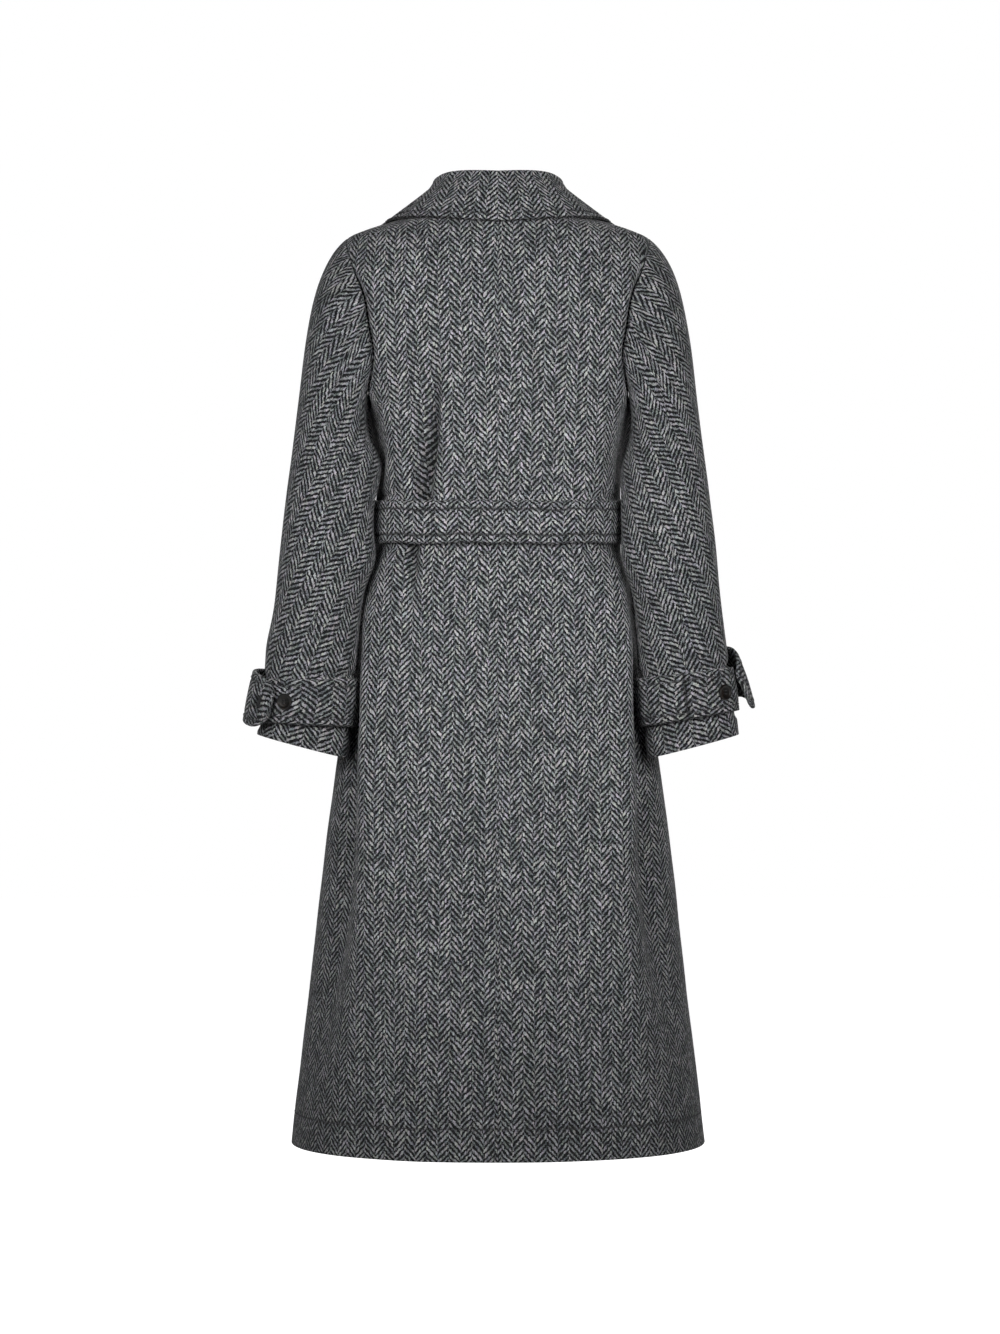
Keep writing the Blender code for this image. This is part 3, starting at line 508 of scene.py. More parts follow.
    def creased(self, angle: Array, height: Array, side: Side, out: Array | float = 0.0) -> Array:
        """Points of the body with folds, short creases on the back and a slight unevenness.

        Args:
            angle: Angles round the body.
            height: Heights.
            side: Half of the coat.
            out: Distance that the points are moved out by.

        Returns:
            Points of the left half.
        """
        base = self.plain(angle, height, side, out)
        z = base[..., 2]
        depth = self.pinched(angle, height, side)
        depth = depth + self.uneven * unevenness(angle * self.uneven_turn, z, side.value)
        below_neck = smooth((self.neck - z) / self.neck_ramp)
        off_belt = smooth((np.abs(z - self.belt_middle) - self.belt_reach) / self.belt_ramp)
        from_belt = np.abs(z - self.belt_middle + self.belt_dip * np.sin(angle)) - self.belt_reach
        drawn_in = self.cinch * bell(from_belt, self.cinch_reach) * smooth(np.sin(angle) / self.cinch_ramp)
        raised, sunk = np.maximum(depth, 0.0) * (off_belt * below_neck), np.minimum(depth, 0.0) * below_neck
        moved = raised + sunk - drawn_in
        return base + moved[..., None] * self.normal(angle, height, side)

    def armhole_angle(self, height: Array, widest: float) -> Array:
        """Angle of the armhole edge: widest times the root of 1 less the squared rise, scooped below.

        Args:
            height: Heights.
            widest: Largest angle of the edge.

        Returns:
            Angles of the edge.
        """
        middle = (self.shoulder_tip + self.underarm) / 2
        rise = np.clip((height - middle) / (self.shoulder_tip - middle), -1.0, 1.0)
        return widest * np.sqrt(1.0 - rise**2) * (1.0 - self.armhole_scoop * (1.0 - rise) / 2)

    def front_angle(self, edge_x: Array, height: Array) -> Array:
        """Angle at which the plain front reaches a distance from the centre front."""
        share = edge_x / self.sections.read("half_width", height)
        return -np.arccos(signed_power(share, self.sections.read("squareness", height) / 2))

    def edge_x(self, height: Array) -> Array:
        """Distance of the front edge and roll line from the centre front, negative past it."""
        return self.front_edge.read("edge_x", height)

    def wrapped(self, x: Array, height: Array) -> Array:
        """How far the upper front stands out to clear the under one."""
        past = -self.edge_x(height) + self.wrap_ramp + self.wrap_margin - x
        return self.wrap_lift * smooth(past / self.wrap_ramp)


@dataclass(frozen=True)
class Dent:
    """Soft fold of a sleeve: middle round it in degrees and up it, half sizes both ways, depth outwards."""

    side: Side
    turn: float
    height: float
    half_turn: float
    half_height: float
    depth: float

    def at(self, turn: Array, height: Array) -> Array:
        """Depth: a bell round the sleeve times a bell along it.

        Args:
            turn: Angles round the sleeve.
            height: Heights.

        Returns:
            How far the cloth stands out there.
        """
        off = turn - math.radians(self.turn)
        swing = np.arctan2(np.sin(off), np.cos(off))
        round_it = bell(swing, math.radians(self.half_turn))
        return self.depth * round_it * bell(height - self.height, self.half_height)


@dataclass(frozen=True)
class SleeveForm:
    """Outer face of a sleeve: from the armhole over the sleeve head to tilted rings down to the cuff."""

    body: BodyForm
    sections: Table = Table(
        ("height", "inner_x", "outer_x", "middle_y", "half_depth", "tilt"),
        (
            (-0.628, 0.1765, 0.2855, 0.056, 0.051, 0.26),
            (-0.570, 0.1700, 0.2790, 0.058, 0.053, 0.21),
            (-0.530, 0.1660, 0.2725, 0.058, 0.054, 0.17),
            (-0.454, 0.1610, 0.2632, 0.057, 0.057, 0.14),
            (-0.376, 0.1500, 0.2553, 0.058, 0.061, 0.13),
            (-0.334, 0.1490, 0.2503, 0.056, 0.063, 0.13),
            (-0.298, 0.1490, 0.2464, 0.046, 0.064, 0.12),
            (-0.262, 0.1560, 0.2424, 0.032, 0.064, 0.12),
        ),
    )
    dents: tuple[Dent, ...] = (
        Dent(Side.LEFT, 180, -0.286, 52, 0.034, 0.012),
        Dent(Side.RIGHT, 180, -0.305, 55, 0.045, 0.003),
        Dent(Side.LEFT, 154, -0.374, 30, 0.040, 0.0045),
        Dent(Side.RIGHT, 156, -0.370, 30, 0.042, 0.0045),
        Dent(Side.LEFT, 20, -0.515, 50, 0.030, 0.004),
        Dent(Side.LEFT, 176, -0.402, 40, 0.024, 0.006),
        Dent(Side.RIGHT, 176, -0.402, 40, 0.024, 0.005),
        Dent(Side.LEFT, 160, -0.318, 32, 0.016, 0.002),
        Dent(Side.LEFT, 118, -0.390, 36, 0.032, -0.006),
        Dent(Side.LEFT, 84, -0.452, 42, 0.034, 0.004),
        Dent(Side.RIGHT, 122, -0.400, 36, 0.032, -0.006),
        Dent(Side.RIGHT, 80, -0.460, 42, 0.034, 0.004),
    )
    creases: tuple[Crease, ...] = (
        Crease(Side.LEFT, (0.168, -0.262), (0.236, -0.292), 0.0080, -0.0030, 0.004),
        Crease(Side.LEFT, (0.166, -0.330), (0.232, -0.352), 0.0090, -0.0028, -0.004),
        Crease(Side.LEFT, (0.246, -0.440), (0.196, -0.420), 0.0080, -0.0024, 0.003),
        Crease(Side.LEFT, (0.266, -0.480), (0.214, -0.530), 0.0085, -0.0026, 0.003),
        Crease(Side.RIGHT, (0.166, -0.272), (0.232, -0.300), 0.0080, -0.0026, 0.004),
        Crease(Side.RIGHT, (0.168, -0.348), (0.230, -0.372), 0.0085, -0.0026, -0.003),
        Crease(Side.RIGHT, (0.254, -0.450), (0.204, -0.430), 0.0080, -0.0022, 0.003),
        Crease(Side.RIGHT, (0.180, -0.500), (0.236, -0.516), 0.0080, -0.0022, 0.003),
    )
    bicep: float = -0.262
    cuff: float = -0.628
    leave_mean: Point = (0.55, 0.20, -0.80)
    leave_swing: Point = (0.25, 0.15, 0.20)
    pull_tip: float = 0.75
    pull_underarm: float = 0.5
    pull_arrive: float = 1.2
    stand_off: float = 0.0030
    strap_top: float = -0.520
    strap: Table = Table(("side", "middle", "level"), ((-1.0, -0.568, 0.003), (1.0, -0.575, 0.010)))
    strap_reach: float = 0.030
    strap_ramp: float = 0.03
    pinch: float = 0.0036
    pinch_reach: float = 0.0045
    uneven: float = 0.0006
    uneven_turn: float = 0.055
    back_ramp: float = 0.4
    head_ramp: float = 0.25

    def tube(self, turn: Array, height: Array, side: Side) -> Array:
        """Sleeve below the bicep: an ellipse at each height, higher on its outer side, with its dents.

        Args:
            turn: Angles round the sleeve.
            height: Heights.
            side: Half of the coat.

        Returns:
            Points of the left half.
        """
        inner_x = self.sections.read("inner_x", height)
        outer_x = self.sections.read("outer_x", height)
        half_width = (outer_x - inner_x) / 2
        half_depth = self.sections.read("half_depth", height)
        depth = sum(dent.at(turn, height) for dent in self.dents if dent.side is side)
        x = (outer_x + inner_x) / 2 + (half_width + depth) * np.cos(turn)
        y = self.sections.read("middle_y", height) + (half_depth + depth) * np.sin(turn)
        z = height + self.sections.read("tilt", height) * half_width * np.cos(turn)
        return np.stack(np.broadcast_arrays(x, y, z), -1)

    def armhole(self, turn: Array, side: Side) -> tuple[Array, Array]:
        """Edge of the armhole and its outward normal: 0 at the shoulder tip, half a turn at the underarm.

        Args:
            turn: Angles round the sleeve.
            side: Half of the coat.

        Returns:
            Points of the left half and their normals.
        """
        middle = (self.body.shoulder_tip + self.body.underarm) / 2
        height = middle + (self.body.shoulder_tip - middle) * np.cos(turn)
        behind = self.body.armhole_angle(height, self.body.armhole_back)
        before = -self.body.armhole_angle(height, self.body.armhole_front)
        angle = np.where(np.sin(turn) >= 0, behind, before)
        return self.body.plain(angle, height, side), self.body.normal(angle, height, side)

    def plain(self, turn: Array, travel: Array, side: Side) -> Array:
        """Sleeve points: a cubic from the armhole to the bicep ring, then the tube to the cuff.

        Args:
            turn: Angle round the sleeve, 0 outside and a quarter turn behind.
            travel: 0 to 1 from the armhole to the bicep, 1 to 2 from there to the cuff.
            side: Half of the coat.

        Returns:
            Points of the left half.
        """
        turn, travel = np.broadcast_arrays(np.asarray(turn, float), np.asarray(travel, float))
        edge, edge_out = self.armhole(turn, side)
        swing = np.stack([np.cos(turn), np.sin(turn), np.cos(turn)], -1)
        leave = unit(np.array(self.leave_mean) + np.array(self.leave_swing) * swing)
        under = (np.sin(turn / 2) ** 2)[..., None]
        start = edge + SEAM * leave + self.stand_off * under * edge_out
        ring = self.tube(turn, self.bicep, side)
        arrive = unit(self.tube(turn, self.bicep - NUDGE, side) - ring)
        chord = np.linalg.norm(ring - start, axis=-1, keepdims=True)
        pull = chord * (self.pull_tip + (self.pull_underarm - self.pull_tip) * under)
        part = np.clip(travel, 0.0, 1.0)[..., None]
        head = hermite(start, pull * leave, ring, self.pull_arrive * chord * arrive, part)
        height = self.bicep + (self.cuff - self.bicep) * np.clip(travel - 1.0, 0.0, None)
        return np.where(travel[..., None] < 1.0, head, self.tube(turn, height, side))

    def normal(self, turn: Array, travel: Array, side: Side) -> Array:
        """Outward normal of the sleeve, from its slopes both ways.

        Args:
            turn: Angles round the sleeve.
            travel: Way from the armhole to the cuff.
            side: Half of the coat.

        Returns:
            Unit normals.
        """
        low = np.clip(travel - NUDGE, 0.0, None)
        along = self.plain(turn, travel + NUDGE, side) - self.plain(turn, low, side)
        around = self.plain(turn + NUDGE, travel, side) - self.plain(turn - NUDGE, travel, side)
        return unit(np.cross(along, around))

    def creased(self, turn: Array, travel: Array, side: Side) -> Array:
        """Sleeve points with short creases behind and a slight unevenness, still below the strap.

        Args:
            turn: Angle round the sleeve.
            travel: Way from the armhole to the cuff.
            side: Half of the coat.

        Returns:
            Points of the left half.
        """
        base = self.plain(turn, travel, side)
        x, z = base[..., 0], base[..., 2]
        depth = sum(crease.at(x, z) for crease in self.creases if crease.side is side)
        depth = depth * smooth(np.sin(turn) / self.back_ramp)
        depth = depth + self.uneven * unevenness(turn * self.uneven_turn, z, 2.0 + side.value)
        clear = smooth(travel / self.head_ramp) * smooth((z - self.strap_top) / self.strap_ramp)
        middle = self.strap.read("middle", side.value) - self.strap.read("level", side.value) * np.cos(turn)
        height = self.bicep + (self.cuff - self.bicep) * (travel - 1.0)
        from_strap = np.abs(height - middle) - self.strap_reach
        drawn_in = self.pinch * bell(from_strap, self.pinch_reach)
        return base + (depth * clear - drawn_in)[..., None] * self.normal(turn, travel, side)

    def travel(self, height: Array) -> Array:
        """Travel at which the ring lies at a height below the bicep."""
        return 1.0 + (self.bicep - height) / (self.bicep - self.cuff)


# Shader maths


class Value:
    """One output of a shader node, so that sums of sockets read as Python expressions."""

    def __init__(self, graph: "Graph", socket: bpy.types.NodeSocket) -> None:
        """Keep the socket and the graph that it belongs to."""
        self.graph = graph
        self.socket = socket

    def __add__(self, other: "Value | float") -> "Value":
        """Sum of two values."""
        return self.graph.math("ADD", self, other)

    def __sub__(self, other: "Value | float") -> "Value":
        """First value less the second."""
        return self.graph.math("SUBTRACT", self, other)

    def __rsub__(self, other: float) -> "Value":
        """Number less this value."""
        return self.graph.math("SUBTRACT", other, self)

    def __mul__(self, other: "Value | float") -> "Value":
        """Product of two values."""
        return self.graph.math("MULTIPLY", self, other)

    def __truediv__(self, other: "Value | float") -> "Value":
        """First value over the second."""
        return self.graph.math("DIVIDE", self, other)

    __radd__ = __add__
    __rmul__ = __mul__

    def of(self, operation: str, *others: "Value | float") -> "Value":
        """Any other maths on this value, named as the Math node names it."""
        return self.graph.math(operation, self, *others)

    def above(self, low: float, high: float) -> "Value":
        """Eased step from 0 at low to 1 at high."""
        sockets = {"Value": self, "From Min": low, "From Max": high, "To Min": 0.0, "To Max": 1.0}
        return self.graph.value("ShaderNodeMapRange", {"interpolation_type": "SMOOTHSTEP"}, sockets)


class Graph:
    """Nodes of one material or world, made by type with their settings and links."""

    def __init__(self, owner: bpy.types.Material | bpy.types.World) -> None:
        """Take up the nodes of a new material or world.

        Args:
            owner: The material or world.
        """
        owner.use_nodes = True
        self.owner = owner
        self.tree = owner.node_tree

    def set(self, target: bpy.types.NodeSocket, given: Any) -> None:
        """Link a value to a socket, or set a plain number, colour or vector on it.

        Args:
            target: Socket to feed.
            given: What goes into it.
        """
        if isinstance(given, Value):
            self.tree.links.new(given.socket, target)
        else:
            target.default_value = given

    def node(self, kind: str, settings: dict[str, Any], sockets: dict[str | int, Any]) -> bpy.types.Node:
        """Add one node of any type.

        Args:
            kind: Type of the node.
            settings: Properties, which are set first.
            sockets: Values or links of its inputs, by name or place.

        Returns:
            The node.
        """
        made = self.tree.nodes.new(kind)
        for name, setting in settings.items():
            setattr(made, name, setting)
        for key, given in sockets.items():
            self.set(made.inputs[key], given)
        return made

    def shade(self, sockets: dict[str, Any]) -> None:
        """Feed the Principled shader: a link for each value, a plain setting for each constant."""
        for name, given in sockets.items():
            self.set(self.tree.nodes["Principled BSDF"].inputs[name], given)

    def value(
        self, kind: str, settings: dict[str, Any], sockets: dict[str | int, Any], output: str | int = 0
    ) -> Value:
        """Add one node and take one of its outputs as a value."""
        return Value(self, self.node(kind, settings, sockets).outputs[output])

    def math(self, operation: str, *terms: Value | float) -> Value:
        """Add one Math node on values and numbers."""
        return self.value("ShaderNodeMath", {"operation": operation}, dict(enumerate(terms)))

    def vector(self, x: Value | float, y: Value | float) -> Value:
        """Join two values into a flat vector."""
        return self.value("ShaderNodeCombineXYZ", {}, {0: x, 1: y, 2: 0.0})

    def split(self, joined: Value) -> tuple[Value, Value, Value]:
        """Part a vector or colour into its three numbers."""
        parts = self.node("ShaderNodeSeparateXYZ", {}, {0: joined})
        return tuple(Value(self, output) for output in parts.outputs)

    def grey(self, tone: Value) -> Value:
        """Colour with the same number in each channel."""
        return self.value("ShaderNodeCombineColor", {}, {0: tone, 1: tone, 2: tone})

    def noise(self, at: Value, scale: float, detail: float = 2.0, output: str = "Fac") -> Value:
        """Soft noise at a point of the grain map, with a scale in turns to the metre."""
        sockets = {"Vector": at, "Scale": scale, "Detail": detail}
        return self.value("ShaderNodeTexNoise", {"noise_dimensions": "2D"}, sockets, output)

    def cloud(self, scale: float, detail: float) -> Value:
        """Soft noise in the space of the object itself."""
        at = self.value("ShaderNodeTexCoord", {}, {}, "Object")
        return self.value("ShaderNodeTexNoise", {}, {"Vector": at, "Scale": scale, "Detail": detail}, "Fac")

    def dice(self, at: Value, output: str = "Value") -> Value:
        """One random number for each whole point."""
        return self.value("ShaderNodeTexWhiteNoise", {"noise_dimensions": "2D"}, {"Vector": at}, output)

    def mix(self, share: Value | float, first: Any, second: Any, blend: str = "MIX") -> Value:
        """Mix two colours by a share."""
        settings = {"data_type": "RGBA", "blend_type": blend}
        return self.value("ShaderNodeMix", settings, {0: share, 6: first, 7: second}, 2)

    def bump(self, height: Value, strength: float, distance: float) -> Value:
        """Normal of a surface whose small relief is a height in shares of a distance."""
        sockets = {"Strength": strength, "Distance": distance, "Height": height}
        return self.value("ShaderNodeBump", {}, sockets)


@dataclass(frozen=True)
class HerringboneCloth:
    """Heavy wool in a two-and-two twill that turns every eight ends: pale weft on a charcoal warp."""

    name: str = "herringbone_wool"
    # Painted shade: a factor on the whole cloth's colour, below 1 for a darker copy of the cloth.
    shade: float = 1.0
    end: float = 0.00165
    pick: float = 0.00181
    turn_ends: float = 8.0
    rib_picks: float = 4.0
    pale: Colour = (0.790, 0.825, 0.855, 1.0)
    pale_dim: Colour = (0.190, 0.198, 0.206, 1.0)
    dark: Colour = (0.0062, 0.0062, 0.0072, 1.0)
    dark_soft: Colour = (0.042, 0.042, 0.047, 1.0)
    tint: float = 0.14
    roughness: float = 0.92
    sheen: float = 0.10
    sheen_roughness: float = 0.45
    specular: float = 0.15
    # Painted shading: how strongly the per-point shading attribute darkens the cloth's colour.
    flattened: float = 0.8
    drifts: tuple[Point, ...] = ((28.0, 0.0022, 0.0034), (190.0, 0.0017, 0.0030), (640.0, 0.0013, 0.0021))
    fibre: Pair = (2600.0, 3.0)
    nap: Pair = (760.0, 2.0)
    mottle: Pair = (40.0, 3.0)
    streak_scale: Pair = (70.0, 560.0)
    thread_draw: float = 57.0
    bead_cover: float = 0.34
    nap_cover: float = 1.1
    cover_range: Pair = (0.38, 0.86)
    glow: tuple[float, ...] = (0.75, 0.95, 0.9, 0.12)
    haze: tuple[float, ...] = (0.5, 0.45, 1.2)
    tones: tuple[float, ...] = (0.66, 0.34, 0.6, 0.05)
    relief: tuple[float, ...] = (0.75, 0.25, 0.45, 0.4)
    bump_strength: float = 0.75
    bump_height: float = 0.0007

    def material(self) -> bpy.types.Material:
        """Weave from the piece's own grain map: slanting ribs that turn at each column, bead by bead.

        Returns:
            The material.
        """
        graph = Graph(bpy.data.materials.new(self.name))
        grain = graph.value("ShaderNodeUVMap", {"uv_map": "grain"}, {})
        across, along = graph.split(grain)[:2]
        for scale, sideways, lengthways in self.drifts:
            push = graph.split(graph.noise(grain, scale, 1.0, "Color"))
            across = across + (push[0] - 0.5) * sideways
            along = along + (push[1] - 0.5) * lengthways
        ends, picks = across / self.end, along / self.pick
        column = (ends / (2 * self.turn_ends)).of("FRACT")
        slant = (column * 2.0 - 1.0).of("ABSOLUTE")
        turned = column.of("LESS_THAN", 0.5)
        phase = picks / self.rib_picks - slant * (self.turn_ends / self.rib_picks) + turned * 0.5
        bead_at = graph.vector(ends.of("FLOOR"), phase.of("FLOOR"))
        bead, dye = graph.dice(bead_at), graph.dice(bead_at, "Color")
        thread_at = (phase * 2.0).of("FLOOR") + self.thread_draw
        thread = graph.dice(graph.vector(ends.of("FLOOR"), thread_at))
        fibre = graph.noise(grain, *self.fibre)
        nap = graph.noise(grain, *self.nap)
        stretched = graph.vector(across * self.streak_scale[0], along * self.streak_scale[1])
        streak = graph.noise(stretched, 1.0, 1.0)
        mottle = graph.noise(grain, *self.mottle)
        wave = ((phase - 0.25) * (2 * math.pi)).of("COSINE")
        cover = wave * 0.5 + 0.5 + (bead - 0.5) * self.bead_cover + (nap - 0.5) * self.nap_cover
        light = cover.above(*self.cover_range)
        by_bead, by_streak, by_nap, least = self.glow
        glow = bead * bead * by_bead + (streak - 0.5) * by_streak + (nap - 0.5) * by_nap + least
        pale = graph.mix(glow.of("MAXIMUM", 0.0).of("MINIMUM", 1.0), self.pale_dim, self.pale)
        by_thread, nap_middle, by_nap = self.haze
        haze = (thread * by_thread + (nap - nap_middle) * by_nap).of("MAXIMUM", 0.0)
        colour = graph.mix(light, graph.mix(haze, self.dark, self.dark_soft), pale)
        least, by_mottle, by_fibre, by_turn = self.tones
        # The shade factor darkens a whole copy of the cloth: painted shade.
        tone = (least + mottle * by_mottle + (fibre - 0.5) * by_fibre + turned * by_turn) * self.shade
        # Painted shading: a per-point attribute darkens the base colour where shade falls (creases, clefts,
        # past the skirt's folds, under the belt and collar edges, along stitch grooves and slits) and
        # lightens it where a painted highlight lies.
        pressed = graph.value("ShaderNodeAttribute", {"attribute_name": "pressed"}, {}, "Fac")
        tone = tone * (1.0 - pressed * self.flattened)
        colour = graph.mix(1.0, colour, graph.grey(tone), "MULTIPLY")
        colour = graph.mix(self.tint, colour, graph.mix(1.0, colour, dye, "MULTIPLY"))
        high, by_end, by_fibre, by_nap = self.relief
        rounded = high - (ends * (2 * math.pi)).of("COSINE") * by_end
        relief = light * rounded + fibre * by_fibre + nap * by_nap
        graph.shade({
            "Base Color": colour,
            "Normal": graph.bump(relief, self.bump_strength, self.bump_height),
            "Roughness": self.roughness,
            "Specular IOR Level": self.specular,
            "Sheen Weight": self.sheen,
            "Sheen Roughness": self.sheen_roughness,
        })
        return graph.owner


@dataclass(frozen=True)
class SewingThread:
    """Dark twisted sewing thread, a little glossier than the wool."""

    name: str = "dark_thread"
    dark: Colour = (0.012, 0.012, 0.014, 1.0)
    worn: Colour = (0.035, 0.035, 0.040, 1.0)
    worn_range: Pair = (0.35, 0.7)
    roughness: float = 0.6
    lint: Pair = (900.0, 2.0)
    twist: Pair = (0.5, 0.0002)

    def material(self) -> bpy.types.Material:
        """Colour from a noise on Object coordinates, with the twist as bump.

        Returns:
            The material.
        """
        graph = Graph(bpy.data.materials.new(self.name))
        lint = graph.cloud(*self.lint)
        graph.shade({
            "Base Color": graph.mix(lint.above(*self.worn_range), self.dark, self.worn),
            "Normal": graph.bump(lint, *self.twist),
            "Roughness": self.roughness,
        })
        return graph.owner


@dataclass(frozen=True)
class DarkHorn:
    """Half-gloss button of dark horn with brown clouds."""

    name: str = "dark_horn"
    black: Colour = (0.0030, 0.0031, 0.0028, 1.0)
    brown: Colour = (0.016, 0.009, 0.005, 1.0)
    brown_range: Pair = (0.52, 0.75)
    roughness: Pair = (0.30, 0.2)
    specular: float = 0.22
    clouds: Pair = (150.0, 3.0)
    streaks: Pair = (900.0, 2.0)
    shares: Pair = (0.8, 0.3)
    turning: Pair = (0.2, 0.0001)

    def material(self) -> bpy.types.Material:
        """Clouds and fine streaks on Object coordinates, with fine turning marks as bump.

        Returns:
            The material.
        """
        graph = Graph(bpy.data.materials.new(self.name))
        streak = graph.cloud(*self.streaks)
        by_cloud, by_streak = self.shares
        share = (graph.cloud(*self.clouds) * by_cloud + streak * by_streak).above(*self.brown_range)
        graph.shade({
            "Base Color": graph.mix(share, self.black, self.brown),
            "Roughness": self.roughness[0] + streak * self.roughness[1],
            "Normal": graph.bump(streak, *self.turning),
            "Specular IOR Level": self.specular,
        })
        return graph.owner


# Meshes


def add_mesh(name: str, points: Array, faces: Array, corners: Array | None = None) -> bpy.types.Object:
    """Make one smooth object from points and four-sided faces, turned so that its faces look outwards.

    Args:
        name: Name of the piece.
        points: Points, one a row.
        faces: Places of the four corners of each face.
        corners: Grain map of each face corner, in metres, or none.

    Returns:
        The object, at the origin.
    """
    a, b, c, d = (points[faces[:, place]] for place in range(4))
    volume = np.sum(a * np.cross(b, c)) + np.sum(a * np.cross(c, d))
    if volume < 0:
        faces = faces[:, ::-1]
        corners = None if corners is None else corners[:, ::-1]
    mesh = bpy.data.meshes.new(name)
    mesh.vertices.add(len(points))
    mesh.vertices.foreach_set("co", np.ascontiguousarray(points, dtype=np.float32).ravel())
    mesh.loops.add(faces.size)
    mesh.loops.foreach_set("vertex_index", np.ascontiguousarray(faces, dtype=np.int32).ravel())
    mesh.polygons.add(len(faces))
    mesh.polygons.foreach_set("loop_start", np.arange(0, faces.size, 4, dtype=np.int32))
    mesh.polygons.foreach_set("use_smooth", np.ones(len(faces), dtype=bool))
    if corners is not None:
        layer = mesh.uv_layers.new(name="grain")
        layer.uv.foreach_set("vector", np.ascontiguousarray(corners, dtype=np.float32).ravel())
    mesh.update(calc_edges=True)
    made = bpy.data.objects.new(name, mesh)
    bpy.context.scene.collection.objects.link(made)
    return made


def half_area(made: bpy.types.Object) -> float:
    """Half the surface of a closed piece, which is the area of one side of its cloth.

    Args:
        made: The piece.

    Returns:
        Square metres.
    """
    areas = np.empty(len(made.data.polygons))
    made.data.polygons.foreach_get("area", areas)
    return float(areas.sum() / 2)


def mirror(side: Side) -> Array:
    """Signs that carry points of the left half to one half."""
    return np.array([side.value, 1.0, 1.0])


def lid_faces(spokes: int) -> Array:
    """Faces that close one ring of points, strip by strip."""
    first = np.arange(spokes // 2 - 1)
    return np.stack([first, first + 1, spokes - 2 - first, spokes - 1 - first], -1)


def stack_faces(rings: int, spokes: int) -> Array:
    """Faces of rings of points that close on themselves, ring after ring.

    Args:
        rings: Number of rings.
        spokes: Points in a ring.

    Returns:
        Places of the four corners of each face.
    """
    index = np.arange(rings * spokes).reshape(rings, spokes)
    after = np.roll(index, -1, axis=1)
    return np.stack([index[:-1], after[:-1], after[1:], index[1:]], -1).reshape(-1, 4)


@dataclass
class Wardrobe:
    """Finishes of the coat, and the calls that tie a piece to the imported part."""

    cloth: bpy.types.Material
    # Darker copy of the cloth for sleeves and cuffs: painted shade.
    sleeve_cloth: bpy.types.Material
    thread: bpy.types.Material
    horn: bpy.types.Material
    body: str = "root"

    def dress(
        self, made: bpy.types.Object, material: bpy.types.Material, slot: Slot, nodes: Names = ()
    ) -> None:
        """Give a piece its finish and its body, and hide the solids that it stands for.

        Args:
            made: The piece.
            material: Its finish.
            slot: Not used.
            nodes: Solids that it replaces.
        """
        made.data.materials.append(material)
        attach(made, self.body)
        if nodes:
            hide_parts(*nodes)
        LOG.info("%s: %d faces", made.name, len(made.data.polygons))


